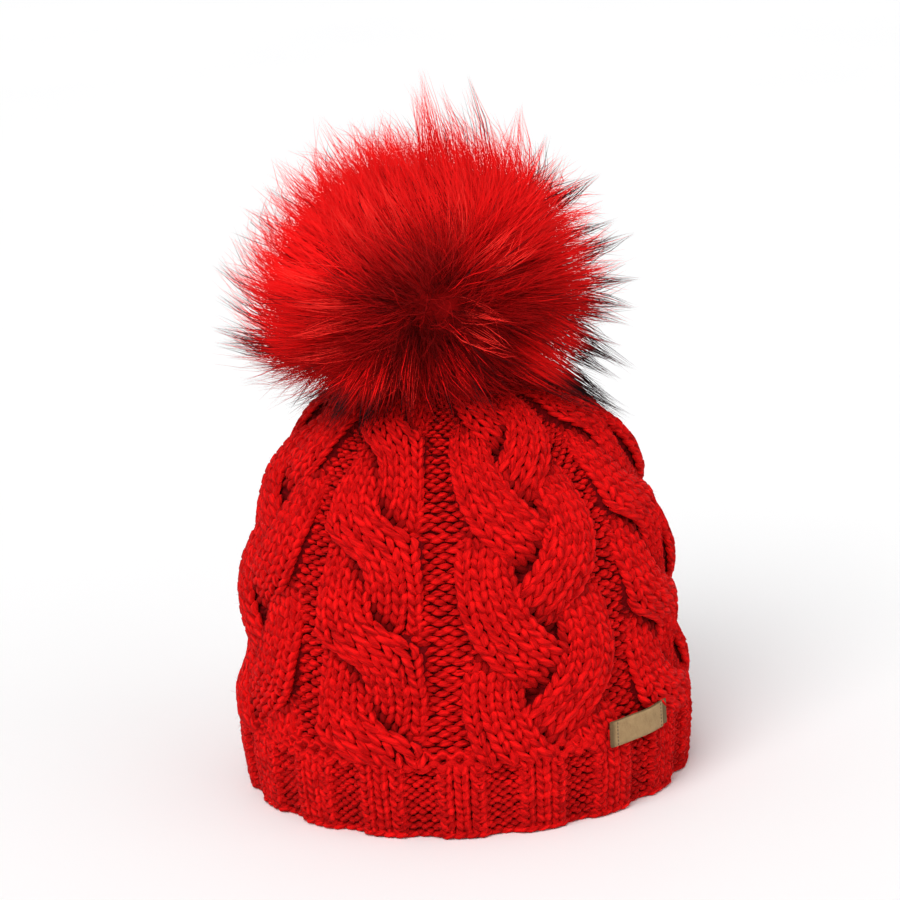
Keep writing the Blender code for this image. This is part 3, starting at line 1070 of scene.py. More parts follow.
@dataclass
class RibBand:
    """The hem band: ribs of knit wales between purl furrows, with a cast-on edge and a ridge of loops on top."""

    ground: KnitGround
    wool: WoolFinish
    backing: BackingFinish
    ribs: int = 18
    first_rib: float = math.radians(-2.1)
    rise: float = 0.0032
    courses: int = 9
    foot: float = 0.0012
    wale: float = math.radians(4.0)
    rib_flat: float = math.radians(4.4)
    rib_edge: float = math.radians(7.6)
    leg_radius: float = 0.00172
    leg_span: float = 1.5
    purl_radius: float = 0.00120
    purl_pitch: float = math.radians(2.8)
    hem_roll: float = 0.0016
    ridge_loops: int = 84
    ridge_radius: float = 0.0018
    edge_grains: int = 120
    edge_radius: float = 0.0014
    wall_points: int = 216
    leg_profile: tuple[float, ...] = (0.55, 1.0, 1.0, 0.5)
    grain_profile: tuple[float, ...] = (0.55, 1.0, 0.98, 0.5)
    seed: int = 23

    def __post_init__(self) -> None:
        """Works out the row height."""
        self.row = (self.ground.band_height - self.foot) / self.courses
        self.rng = np.random.default_rng(self.seed)

    def lift(self, angle: Array, along: Array) -> Array:
        """The ribs' relief: full over the knit wales, falling smoothly to nothing in the furrow.

        Args:
            angle: Angle from the front.
            along: Distance from the hem.

        Returns:
            The lift above the ground, less the hem's roll at its lower edge.
        """
        period = TAU / self.ribs
        offset = np.abs((angle - self.first_rib + period / 2) % period - period / 2)
        roll = self.hem_roll * (1.0 - smooth(along, 0.0, 0.006))
        return self.rise * (1.0 - smooth(offset, self.rib_flat, self.rib_edge)) - roll

    def painted_hem_shade(self, along: Array) -> Array:
        """How bright the yarn is painted up the band, as painted shade towards the hem: 0.75 at the hem, rising to 1
        at its top.
        """
        return 0.75 + 0.25 * smooth(along, 0.0, self.ground.band_height)

    def wales(self) -> Surface:
        """The knit stitches of the ribs, two legs each, in the way of the crown's.

        Returns:
            The legs as one surface.
        """
        hands = np.array([-1.0, 1.0])
        rib, wale, row, hand = columns_of(
            np.arange(self.ribs), np.array([-1.0, 0.0, 1.0]), np.arange(self.courses), hands
        )
        share = LEG_SHARES[None, :]
        along = self.foot + (row + 0.5 + self.leg_span * (share - 0.5)) * self.row
        along = np.maximum(along, self.foot)
        spread = hand * (0.09 + 0.28 * smooth(share, -0.1, 1.0))
        jitter = self.rng.normal(0.0, 1.0, (len(rib), 3))
        angle = self.first_rib + rib * TAU / self.ribs + (wale + spread + 0.02 * jitter[:, :1]) * self.wale
        bend = 0.0009 * (np.sin(math.pi * share) ** 0.7 - 0.75)
        lift = self.lift(angle, along) - 0.0010 + bend + 0.0001 * jitter[:, 1:2]
        radii = self.leg_radius * np.array(self.leg_profile)[None, :] * (1.0 + 0.05 * jitter[:, 2:3])
        # tone: a random tone, times painted shade towards the hem
        tone = self.rng.uniform(0.60, 0.85, len(rib)) * self.painted_hem_shade(along.mean(1))
        return self.ground.laid((angle, along, lift), radii, tone)

    def furrows(self) -> Surface:
        """The purl furrows: rows of lens-shaped bumps laid like bricks, as in the crown's channels.

        Returns:
            The bumps as one surface.
        """
        furrow, half_row, place = columns_of(
            np.arange(self.ribs), np.arange(1, 2 * self.courses), np.arange(-2, 3)
        )
        odd = half_row % 2
        jitter = self.rng.normal(0.0, 1.0, (len(furrow), 4))
        share = BUMP_SHARES[None, :]
        middle = self.first_rib + (furrow + 0.5) * TAU / self.ribs
        across = place + 0.5 * odd + 0.05 * jitter[:, :1]
        angle = middle + (across + share - 0.5) * self.purl_pitch
        bend = 0.10 * (1.0 - 2.0 * odd) * (0.5 - (2.0 * share - 1.0) ** 2)
        along = self.foot + (half_row / 2 + bend + 0.05 * jitter[:, 1:2]) * self.row
        lift = self.lift(angle, along) * 0.9 - 0.0008 + 0.0010 * np.sin(math.pi * share)
        radii = self.purl_radius * BUMP_PROFILE[None, :] * (1.0 + 0.07 * jitter[:, 2:3])
        tone = self.rng.uniform(0.5, 0.72, len(furrow)) * self.painted_hem_shade(along.mean(1))
        return self.ground.laid((angle, along, lift), radii, tone, np.abs(across[:, 0]) < 2.2)

    def ridge(self) -> Surface:
        """The ridge where the crown is picked up: two closed waves of large loops, out of step.

        Returns:
            The two waves as one surface.
        """
        points = self.ridge_loops * 8
        angle = (np.arange(points) * TAU / points)[None, :]
        wave = angle * self.ridge_loops + np.array([[0.0], [math.pi]])
        uneven = 0.2 * np.sin(angle * 7.0) + 0.15 * np.sin(angle * 19.0 + 1.0)
        along = self.ground.band_height + np.array([[0.0002], [0.0034]]) + (0.0011 + 0.0003 * uneven) * np.cos(wave)
        lift = np.array([[0.0019], [0.0012]]) + 0.0005 * np.cos(2 * wave) + 0.0004 * uneven
        radii = self.ridge_radius * (1.0 + 0.16 * np.cos(2 * wave))
        angle = np.broadcast_to(angle, along.shape)
        centres, normals = self.ground.point(angle, along, lift), self.ground.normal(angle, along)
        return tubes(centres, radii, normals, 6, np.array([0.62, 0.7]), closed=True)

    def edge(self) -> Surface:
        """The cast-on edge: slanting grains laid end over end round the hem.

        Returns:
            The grains as one surface.
        """
        turn = np.arange(self.edge_grains)[:, None] * TAU / self.edge_grains
        share = LEG_SHARES[None, :]
        angle = turn + (share - 0.5) * 1.5 * TAU / self.edge_grains
        along = np.broadcast_to(0.0015 + 0.0013 * (share - 0.5), angle.shape)
        lift = self.lift(angle, along) + 0.0001 + 0.0007 * (np.sin(math.pi * share) - 0.8)
        radii = np.broadcast_to(self.edge_radius * np.array(self.grain_profile), angle.shape)
        centres, normals = self.ground.point(angle, along, lift), self.ground.normal(angle, along)
        return tubes(centres, radii, normals, 6, self.rng.uniform(0.5, 0.75, self.edge_grains))

    def wall(self) -> Surface:
        """The backing of the band.

        Returns:
            The wall's surface.
        """
        angle = np.arange(self.wall_points) * TAU / self.wall_points
        along = np.array([0.0, 0.002, 0.008, 0.016, 0.024, self.ground.start - 0.0003])[:, None]
        lift = self.lift(angle[None, :], along) * 0.85 - 0.0016
        outer = self.ground.point(np.broadcast_to(angle, lift.shape), along, lift)
        height = np.array([self.ground.band_height - 0.0003, 0.02, 0.01, 0.0])[:, None]
        radius = self.ground.radius_at(height, self.ground.wall)
        inner = about_axis(radius, angle, height)
        return closed_wall(np.concatenate([outer, inner]))

    def build(self) -> list[Surface]:
        """Builds every piece of the band.

        Returns:
            The yarn surfaces, for the fuzz that grows on them.
        """
        yarn = self.wool.material("red_ribbing_yarn")
        made = {
            "rib_wales": self.wales(),
            "rib_furrows": self.furrows(),
            "band_ridge": self.ridge(),
            "cast_on_edge": self.edge(),
        }
        for name, surface in made.items():
            surface.build(name, yarn, "red_ribbing")
        wall = self.wall().build("band_backing", self.backing.material("red_ribbing_inside_painted_shade"), "red_ribbing")
        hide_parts("rib_band")
        return list(made.values())


@dataclass
class Fuzz:
    """Short loose fibres that stand out of the wool."""

    finish: WoolFinish = WoolFinish(middle=(0.70, 0.01, 0.012), bright=(0.95, 0.09, 0.08))
    fibres: int = 17000
    length: tuple[float, float] = (0.0010, 0.0040)
    thickness: float = 0.00005
    above_floor: float = 0.0002
    seed: int = 5

    def build(self, surfaces: list[Surface]) -> None:
        """Grows fibres from random points of the yarn, leaning out from the hat's axis.

        Args:
            surfaces: The yarn surfaces.
        """
        rng = np.random.default_rng(self.seed)
        points = np.concatenate([surface.points for surface in surfaces])
        root = points[rng.integers(0, len(points), self.fibres)]
        outwards = root * np.array([1.0, 1.0, 0.0])
        outwards = unit(unit(outwards) + np.array([0.0, 0.0, 1.0]) * smooth(root[:, 2:], 0.08, 0.2))
        lean = unit(outwards + 0.75 * rng.normal(0.0, 1.0, root.shape))
        length = rng.uniform(*self.length, (self.fibres, 1)) * rng.uniform(0.4, 1.0, (self.fibres, 1))
        path = np.stack([root, root + lean * length], 1)
        path[..., 2] = np.maximum(path[..., 2], self.above_floor)
        surface = hairs(path, np.full((self.fibres, 1), self.thickness), rng.uniform(0.6, 1.0, self.fibres))
        surface.build("wool_fuzz", self.finish.material("red_wool_fuzz"), "red_wool")


# ---------------------------------------------------------------- the pompom


class Tip(Enum):
    """What marks the hairs of a tuft."""

    RED = 1.0
    BLACK = 2.0
    HIGHLIGHT = 3.0


@dataclass(frozen=True)
class Tuft:
    """A tuft of long hairs.

    It has a bearing in the front view in degrees, a share that it faces forwards, a reach, a number of hairs, a
    mark, the share of its hairs that are marked, and a spread.
    """

    bearing: float
    forward: float
    reach: float
    hairs: int
    mark: Tip
    share: float
    spread: float


RIM_TUFTS = (
    Tuft(87.0, 0.03, 1.42, 34, Tip.RED, 1.0, 0.022),
    Tuft(89.5, 0.05, 1.33, 30, Tip.RED, 1.0, 0.025),
    Tuft(82.7, 0.05, 1.34, 34, Tip.BLACK, 0.12, 0.022),
    Tuft(76.7, 0.05, 1.39, 30, Tip.BLACK, 0.2, 0.018),
    Tuft(62.6, 0.05, 1.30, 40, Tip.RED, 1.0, 0.022),
    Tuft(68.0, 0.08, 1.20, 40, Tip.RED, 1.0, 0.04),
    Tuft(52.6, 0.08, 1.20, 40, Tip.BLACK, 0.5, 0.035),
    Tuft(44.0, 0.08, 1.12, 40, Tip.BLACK, 0.5, 0.04),
    Tuft(98.0, 0.10, 1.16, 40, Tip.RED, 1.0, 0.04),
    Tuft(107.0, 0.10, 1.17, 40, Tip.RED, 1.0, 0.04),
    Tuft(113.7, 0.10, 1.28, 30, Tip.RED, 1.0, 0.025),
    Tuft(121.0, 0.10, 1.15, 40, Tip.RED, 1.0, 0.04),
    Tuft(130.0, 0.10, 1.20, 50, Tip.RED, 1.0, 0.04),
    Tuft(139.0, 0.10, 1.12, 50, Tip.BLACK, 0.15, 0.04),
    Tuft(148.0, 0.10, 1.12, 50, Tip.BLACK, 0.15, 0.04),
    Tuft(158.0, 0.10, 1.13, 50, Tip.BLACK, 0.2, 0.04),
    Tuft(167.7, 0.10, 1.17, 50, Tip.BLACK, 0.3, 0.035),
    Tuft(177.0, 0.12, 1.14, 50, Tip.BLACK, 0.35, 0.04),
    Tuft(188.6, 0.12, 1.19, 60, Tip.BLACK, 0.6, 0.03),
    Tuft(194.0, 0.12, 1.20, 50, Tip.BLACK, 0.6, 0.03),
    Tuft(204.0, 0.15, 1.10, 50, Tip.BLACK, 0.3, 0.05),
    Tuft(34.0, 0.08, 1.22, 60, Tip.BLACK, 0.8, 0.022),
    Tuft(25.0, 0.08, 1.12, 50, Tip.RED, 1.0, 0.04),
    Tuft(19.0, 0.08, 1.17, 40, Tip.BLACK, 0.6, 0.02),
    Tuft(14.0, 0.10, 1.22, 50, Tip.BLACK, 0.8, 0.018),
    Tuft(6.0, 0.10, 1.14, 40, Tip.BLACK, 0.2, 0.035),
    Tuft(0.0, 0.10, 1.21, 50, Tip.BLACK, 0.8, 0.018),
    Tuft(-9.5, 0.12, 1.22, 60, Tip.BLACK, 0.8, 0.022),
    Tuft(-15.5, 0.12, 1.20, 40, Tip.BLACK, 0.6, 0.025),
    Tuft(-23.0, 0.15, 1.18, 40, Tip.BLACK, 0.5, 0.03),
    Tuft(-28.6, 0.18, 1.33, 60, Tip.BLACK, 1.0, 0.02),
    Tuft(-33.0, 0.20, 1.30, 50, Tip.BLACK, 1.0, 0.02),
    Tuft(-39.5, 0.30, 1.50, 120, Tip.BLACK, 1.0, 0.030),
    Tuft(-62.0, 0.72, 1.20, 40, Tip.BLACK, 0.3, 0.06),
    Tuft(-80.0, 0.75, 1.26, 30, Tip.BLACK, 0.35, 0.05),
    Tuft(-97.0, 0.72, 1.24, 36, Tip.BLACK, 0.35, 0.05),
    Tuft(-112.0, 0.60, 1.28, 50, Tip.BLACK, 0.7, 0.04),
    Tuft(-124.0, 0.52, 1.28, 50, Tip.BLACK, 0.7, 0.04),
    Tuft(-137.0, 0.45, 1.20, 40, Tip.BLACK, 0.5, 0.05),
)
# painted highlight streaks: tufts of hairs coloured brighter, with the full painted glow
HIGHLIGHT_STREAK_ROWS = (
    (112.0, 0.62, 1.05, 26, 0.02),
    (104.0, 0.55, 1.05, 18, 0.02),
    (124.0, 0.60, 1.04, 20, 0.02),
    (42.0, 0.70, 1.05, 22, 0.03),
    (30.0, 0.66, 1.05, 18, 0.03),
    (-8.0, 0.88, 1.05, 26, 0.015),
    (-32.0, 0.84, 1.05, 18, 0.015),
    (-112.0, 0.70, 1.05, 24, 0.02),
    (-98.0, 0.72, 1.05, 18, 0.02),
    (172.0, 0.72, 1.05, 26, 0.025),
    (190.0, 0.70, 1.05, 26, 0.025),
    (203.0, 0.60, 1.05, 22, 0.025),
    (160.0, 0.55, 1.05, 26, 0.04),
    (75.0, 0.60, 1.04, 26, 0.05),
)
TUFTS = RIM_TUFTS + tuple(Tuft(*row[:4], Tip.HIGHLIGHT, 1.0, row[4]) for row in HIGHLIGHT_STREAK_ROWS)


@dataclass
class Pompom:
    """The fur pompom: hairs that part at a rosette in front and sweep back over a ball of underfur."""

    ground: KnitGround
    fur: FurFinish
    centre: Spot = (-0.0082, 0.0, 0.2113)
    half: Spot = (0.0755, 0.072, 0.0622)
    rosette: Spot = (0.03, -1.0, -0.17)
    top: float = 0.2985
    clear: float = 0.006
    core_share: float = 0.73
    core_rings: int = 40
    core_points: int = 72
    clumps: int = 700
    underfur_hairs: int = 11500
    underfur_radii: tuple[float, ...] = (0.00022, 0.00020, 0.00014)
    lock_hairs: int = 9000
    lock_radii: tuple[float, ...] = (0.00013, 0.00014, 0.00011, 0.00007)
    loose_guards: int = 1600
    guard_radii: tuple[float, ...] = (0.00010, 0.00013, 0.00013, 0.00010)
    thickness_range: tuple[float, float] = (0.7, 1.3)
    droop: float = 0.004
    least_tone: float = 0.08
    most_tone: float = 1.3
    seed: int = 71

    def __post_init__(self) -> None:
        """Sets the axes and the clumps that hairs lean to."""
        self.rng = np.random.default_rng(self.seed)
        self.middle = np.array(self.centre)
        self.size = np.array(self.half)
        self.pole = unit(np.array(self.rosette))
        self.clump = self.directions(self.clumps, 0.0)
        self.clump_reach = self.rng.normal(1.0, 0.046, self.clumps)
        self.clump_tone = self.rng.normal(0.0, 0.17, self.clumps)
        self.clump_twist = self.rng.normal(0.0, 0.60, self.clumps)

    def directions(self, count: int, thin: float) -> Array:
        """Random directions, fewer of them near the rosette.

        Args:
            count: How many are wanted.
            thin: The share of those at the rosette that is left out.

        Returns:
            Directions of length one.
        """
        many = unit(self.rng.normal(0.0, 1.0, (count * 3, 3)))
        near = 1.0 - smooth(self.turn_from_pole(many), math.radians(8), math.radians(45))
        kept = many[self.rng.uniform(0.0, 1.0, len(many)) > thin * near]
        return kept[:count]

    def turn_from_pole(self, direction: Array) -> Array:
        """The angle between directions and the rosette."""
        return np.arccos(np.clip(direction @ self.pole, -1.0, 1.0))

    def near_rosette(self, angle: Array) -> Array:
        """One at the rosette and fading away from it: exp(-(angle / 40 degrees)^2)."""
        return np.exp(-((angle / math.radians(40)) ** 2))

    def across_pole(self, direction: Array) -> Array:
        """The part of directions across the rosette's axis, with length one."""
        return unit(direction - (direction @ self.pole)[..., None] * self.pole)

    def turned(self, direction: Array, angle: Array) -> Array:
        """Directions at another angle from the rosette, in the same plane: pole * cos(a) + across * sin(a)."""
        return self.pole * np.cos(angle)[..., None] + self.across_pole(direction) * np.sin(angle)[..., None]

    def swirled(self, tip: Array, angle: Array) -> Array:
        """Turns directions about the rosette, by a slow wave of their place on the ball, so that hairs curve.

        The turn is a sum of sines of the longitude about the rosette and of the angle from it, with some scatter.
        Near the rosette each clump also has a turn of its own, so that the parting is untidy.

        Args:
            tip: Directions of length one.
            angle: Their angle from the rosette.

        Returns:
            The turned directions.
        """
        side = unit(np.cross(self.pole, np.array([0.0, 0.0, 1.0])))
        longitude = np.arctan2(tip @ np.cross(side, self.pole), tip @ side)
        turn = 0.34 * np.sin(2.0 * longitude + 1.3) + 0.24 * np.sin(5.0 * longitude - 3.0 * angle)
        nearest = np.argmax(tip @ self.clump.T, axis=1)
        turn = turn + self.clump_twist[nearest] * self.near_rosette(angle)
        turn = (turn + 0.16 * self.rng.normal(0.0, 1.0, len(tip)))[:, None]
        kept = (tip @ self.pole)[:, None] * self.pole * (1.0 - np.cos(turn))
        return tip * np.cos(turn) + np.cross(self.pole, tip) * np.sin(turn) + kept

    def gathered_tips(self, direction: Array, pull: float) -> tuple[Array, Array, Array]:
        """Pulls tip directions to the nearest clump.

        The reach also swells by two slow sines of the direction, and is a little less at the upper left.

        Args:
            direction: Directions of length one.
            pull: How much of the way they go.

        Returns:
            (directions, the clumps' reach, the clumps' tone).
        """
        nearest = np.argmax(direction @ self.clump.T, axis=1)
        leaned = unit(direction + pull * (self.clump[nearest] - direction))
        x, y, z = direction.T
        swell = 0.022 * np.sin(5.0 * x + 3.0 * z + 1.0) + 0.022 * np.sin(8.0 * z - 5.0 * x + 2.0 * y + 0.5)
        swell -= 0.05 * smooth(0.64 * z - 0.77 * x, 0.80, 1.0)
        depth = 1.0 + 1.1 * self.near_rosette(self.turn_from_pole(leaned))
        return leaned, self.clump_reach[nearest] + swell, self.clump_tone[nearest] * depth

    def paths(self, tip: Array, reach: Array, rings: int, root_share: float, bulge: float) -> Array:
        """Hair paths from the pelt to their tips.

        Each is a curve (1-t)^2 A + 2t(1-t) B + t^2 C. A hair in front has its root A nearer to the rosette than
        its tip C, so that it sweeps away from the parting, and one behind stands straight out.

        Args:
            tip: Tip directions.
            reach: Tip distance, as a share of the ball.
            rings: How many rings a hair has.
            root_share: Root distance, as a share of the ball.
            bulge: Distance of the curve's middle handle, as a share of the ball.

        Returns:
            Points of shape (hairs, rings + 1, 3), kept clear of the knit.
        """
        angle = self.turn_from_pole(tip)
        sweep = 1.0 - 0.74 * np.exp(-((angle / math.radians(118)) ** 2))
        root = self.swirled(tip, angle)
        start, handle = self.turned(root, angle * sweep), self.turned(unit(root + tip), angle * (0.35 + 0.65 * sweep))
        untidy = (0.05 + 0.09 * self.near_rosette(angle))[:, None]
        handle = handle + untidy * self.rng.normal(0.0, 1.0, tip.shape)
        a = start * root_share * self.size
        b = handle * bulge * self.size * np.minimum(reach, 1.1)[:, None]
        c = tip * reach[:, None] * self.size
        t = np.linspace(0.0, 1.0, rings + 1)[None, :, None]
        path = (1 - t) ** 2 * a[:, None] + 2 * t * (1 - t) * b[:, None] + t**2 * c[:, None]
        path[..., 2] -= self.droop * (1.0 - np.abs(tip[:, 2:3])) * t[..., 0] ** 2
        path = path + self.middle
        low = self.ground.ceiling(path, self.clear + 0.0005)
        path[..., 2] = np.maximum(path[..., 2], low + 0.002 * self.rng.uniform(0, 1, low.shape))
        path[..., 2] = np.minimum(path[..., 2], self.top)
        return path

    def shade(self, tip: Array) -> Array:
        """How bright a hair is painted: painted shade in the parting and on the underside, and painted rim light at
        the outline.

        The painted shade of the parting fades faster on its left, and more slowly on its right and above it.

        Args:
            tip: Tip directions.

        Returns:
            Tone from about 0.1 to 1.3.
        """
        across = self.across_pole(tip)
        angle = self.turn_from_pole(tip) * (1.0 - 0.15 * across[:, 0] - 0.11 * across[:, 2])
        # painted shade in the parting, fading away from it
        front = 0.23 + 0.77 * smooth(angle, math.radians(14), math.radians(68))
        # painted rim light, which brightens the hair and its painted glow
        rim = 0.30 * smooth(angle, math.radians(50), math.radians(90))
        # painted shade on the underside
        under = smooth(tip[:, 2], -0.75, 0.55)
        return (front + rim) * (0.32 + 0.68 * under)

    def core(self) -> Surface:
        """The ball of underfur that the hairs grow from, bumpy and kept clear of the knit.

        Returns:
            The ball's surface.
        """
        rings, around = self.core_rings, self.core_points
        polar = np.linspace(0.06, math.pi - 0.06, rings)[:, None]
        turn = (np.arange(around) * TAU / around)[None, :]
        axes = np.sin(polar) * np.cos(turn), np.sin(polar) * np.sin(turn), -np.cos(polar)
        direction = np.stack(np.broadcast_arrays(*axes), -1)
        bumps = (0.03 * np.sin(9 * turn + 5 * polar) + 0.02 * np.sin(17 * turn - 9 * polar)) * np.sin(polar)
        points = self.middle + direction * (self.core_share + bumps)[..., None] * self.size
        points[..., 2] = np.maximum(points[..., 2], self.ground.ceiling(points, self.clear))
        everything = np.concatenate([points.reshape(-1, 3), [points[0].mean(0), points[-1].mean(0)]])
        quad, uv = net(rings - 1, around, rings, rings)
        uv[..., 1] = 0.25
        caps = fans(around, rings)
        faces = [(quad, uv), (caps, np.full((len(caps), 3, 2), 0.25))]
        return Surface(everything, faces, np.full(len(everything), 0.45))

    def uneven(self, radii: tuple[float, ...], count: int) -> Array:
        """The radii along each of some hairs, which differ in thickness."""
        return np.array(radii)[None, :] * self.rng.uniform(*self.thickness_range, (count, 1))

    def underfur(self) -> Surface:
        """Short dense hairs just inside the outline.

        Returns:
            The hairs as one surface.
        """
        tip, reach, tone = self.gathered_tips(self.directions(self.underfur_hairs, 0.55), 0.22)
        reach = reach * self.rng.uniform(0.75, 1.0, len(tip))
        path = self.paths(tip, reach, 3, 0.5, 0.88)
        radii = self.uneven(self.underfur_radii, len(tip))
        tone = 0.96 * self.shade(tip) + 0.5 * tone + self.rng.normal(0.0, 0.06, len(tip))
        return hairs(path, radii, np.clip(tone, self.least_tone, self.most_tone))

    def locks(self) -> Surface:
        """Longer hairs that draw together in pointed locks at the outline.

        Returns:
            The hairs as one surface.
        """
        tip, reach, tone = self.gathered_tips(self.directions(self.lock_hairs, 0.8), 0.40)
        reach = reach * (0.82 + 0.29 * self.rng.uniform(0.0, 1.0, len(tip)) ** 1.2)
        path = self.paths(tip, reach, 4, 0.45, 0.94)
        radii = self.uneven(self.lock_radii, len(tip))
        tone = 0.96 * self.shade(tip) + 0.6 * tone + self.rng.normal(0.0, 0.09, len(tip))
        return hairs(path, radii, np.clip(tone, self.least_tone, self.most_tone))

    def guards(self) -> Surface:
        """Long guard hairs, loose all over and in tufts, many of them with black tips.

        Returns:
            The hairs as one surface.
        """
        loose = self.directions(self.loose_guards, 0.8)
        reach = 1.0 + 0.16 * self.rng.uniform(0.0, 1.0, len(loose)) ** 1.6
        sides = smooth(np.abs(loose[:, 0]), 0.5, 0.95) * 0.15 + smooth(-loose[:, 2], 0.2, 0.8) * 0.14
        dark = self.rng.uniform(0.0, 1.0, len(loose)) < 0.06 + sides
        tips, reaches, marks = [loose], [reach], [np.where(dark, Tip.BLACK.value, Tip.RED.value)]
        for tuft in TUFTS:
            bearing = math.radians(tuft.bearing)
            flat = math.sqrt(1.0 - tuft.forward**2)
            heading = np.array([flat * math.cos(bearing), -tuft.forward, flat * math.sin(bearing)])
            short = self.rng.uniform(0.0, 1.0, tuft.hairs)
            spread = tuft.spread * (0.35 + 0.9 * short)[:, None]
            tips.append(unit(heading + spread * self.rng.normal(0.0, 1.0, (tuft.hairs, 3))))
            reaches.append(tuft.reach * (1.0 - 0.2 * short))
            marked = self.rng.uniform(0.0, 1.0, tuft.hairs) < tuft.share
            marks.append(np.where(marked, tuft.mark.value, Tip.RED.value))
        tip, reach, mark = np.concatenate(tips), np.concatenate(reaches), np.concatenate(marks)
        path = self.paths(tip, reach, 4, 0.5, 0.90)
        radii = self.uneven(self.guard_radii, len(tip))
        radii = radii * np.where(mark == Tip.BLACK.value, 1.25, 1.0)[:, None]
        tone = np.clip(self.shade(tip) + 0.12, 0.2, self.most_tone)
        return hairs(path, radii, np.where(mark > 1.5, mark, tone))

    def build(self) -> None:
        """Builds the fur."""
        hair = self.fur.material("red_fur_hair")
        core = self.core().build("fur_core", hair, "red_fur")
        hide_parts("pompom")
        for name, surface in (("underfur", self.underfur), ("fur_locks", self.locks), ("guard_hairs", self.guards)):
            surface().build(name, hair, "red_fur")


# ---------------------------------------------------------------- the label


@dataclass
class TabLabel:
    """The folded tape on the front, held by a row of stitches at each end of its front layer."""

    tape: TapeFinish
    thread: PlainFinish
    turn: float = math.radians(47.3)
    middle: float = 0.0352
    height: float = 0.0105
    width: float = 0.030
    tail: float = 0.0045
    thickness: float = 0.0005
    layer_gap: float = 0.0006
    back_radius: float = 0.0962
    steps: int = 40
    across: int = 9
    stitch_radius: float = 0.00022
    stitch_length: float = 0.0010
    first_row: float = 0.0024
    last_row: float = 0.0013

    def line(self) -> Array:
        """The tape's middle line: the back layer, the half-round fold, the front layer.

        Returns:
            (distance along the ring, distance out) of each of its points.
        """
        left = -(self.width + self.tail) / 2
        right = left + self.width + self.tail
        gap = (self.thickness + self.layer_gap) / 2
        back = np.stack([np.linspace(right, left, self.steps), np.full(self.steps, self.thickness / 2)], -1)
        turn = np.linspace(0.0, math.pi, 9)[1:-1]
        fold = np.stack([left - gap * np.sin(turn), self.thickness / 2 + gap * (1 - np.cos(turn))], -1)
        front_x = np.linspace(left, left + self.width, self.steps)
        front = np.stack([front_x, np.full(self.steps, self.thickness / 2 + 2 * gap)], -1)
        return np.concatenate([back, fold, front])

    def spot(self, x: Array, out: Array, up: Array) -> Array:
        """A point of the label, which waves a little.

        Args:
            x: Distance along the ring.
            out: Distance out from the label's back.
            up: Distance up from its middle.

        Returns:
            Points with a last axis of 3.
        """
        angle = self.turn + x / (self.back_radius - 0.004)
        wave = 0.00022 * np.sin(x * 320.0 + 0.6) * (1.0 + 60.0 * up) + 0.0003 * (up / self.height) ** 2
        radius = self.back_radius + out + wave
        return about_axis(radius, angle, self.middle + up)

    def band(self) -> Surface:
        """The tape: its section's outline carried along its middle line, closed at both ends.

        Returns:
            The tape's surface. U goes along the tape and V across it. Its tone paints shade at the fold and on the
            back layer.
        """
        line = self.line()
        direction = unit(np.gradient(line, axis=0))
        normal = np.stack([-direction[:, 1], direction[:, 0]], -1)
        up = np.linspace(-0.5, 0.5, self.across) * self.height
        half = self.thickness / 2 * np.clip((0.5 * self.height - np.abs(up)) / 0.0004, 0.45, 1.0)
        faces = []
        for hand in (1.0, -1.0):
            spots = line[:, None, :] + hand * normal[:, None, :] * half[None, :, None]
            faces.append(self.spot(spots[..., 0], spots[..., 1], up[None, :]))
        ring = np.concatenate([faces[0], faces[1][:, ::-1]], axis=1)
        count, around, _ = ring.shape
        quad, uv = (part[:, [0, 3, 2, 1]] for part in net(count - 1, around, count, count - 1))
        number = np.arange(around + 1)
        share = np.where(number < self.across, number, around - 1 - number) / (self.across - 1)
        uv = np.stack([uv[..., 1], share[np.rint(uv[..., 0] * around).astype(int)]], -1)
        j = np.arange(self.across - 1)
        mirror = around - 1 - j
        cap = np.stack([j, j + 1, mirror - 1, mirror], -1)
        caps = np.concatenate([cap, (cap + (count - 1) * around)[:, ::-1]])
        past_fold = line[:, 0] + (self.width + self.tail) / 2
        front = np.arange(count) > self.steps + 3
        # painted shade: dark where the front layer turns at the fold, and on the back layer under it
        tone = np.where(front, 0.30 + 0.70 * smooth(past_fold, 0.0, 0.0016), 0.35)
        faces = [(quad, uv), (caps, np.full((len(caps), 4, 2), 0.5))]
        return Surface(ring.reshape(-1, 3), faces, np.repeat(tone, around))

    def stitches(self) -> Surface:
        """Two upright rows of small thread stitches through the front layer.

        Returns:
            The stitches as one surface.
        """
        left = -(self.width + self.tail) / 2
        rows = np.array([left + self.first_row, left + self.width - self.last_row])
        x, z = columns_of(rows, np.linspace(-0.42, 0.42, 7) * self.height)
        share = np.linspace(-0.5, 0.5, 4)[None, :]
        out = 2 * self.thickness + self.layer_gap + 0.00012 - 0.0004 * (2 * share) ** 4
        centres = self.spot(*np.broadcast_arrays(x, out, z + share * self.stitch_length))
        normals = unit(centres * np.array([1.0, 1.0, 0.0]))
        return tubes(centres, np.full(centres.shape[:2], self.stitch_radius), normals, 6, np.full(len(x), 0.5))

    def build(self) -> None:
        """Builds the tape and its stitches."""
        piece = self.band().build("label_tape", self.tape.material("tan_woven_tape"), "tan_tape")
        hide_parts("label")
        self.stitches().build("label_stitches", self.thread.material("brown_thread"), "tan_tape")


# ---------------------------------------------------------------- floor, light and camera


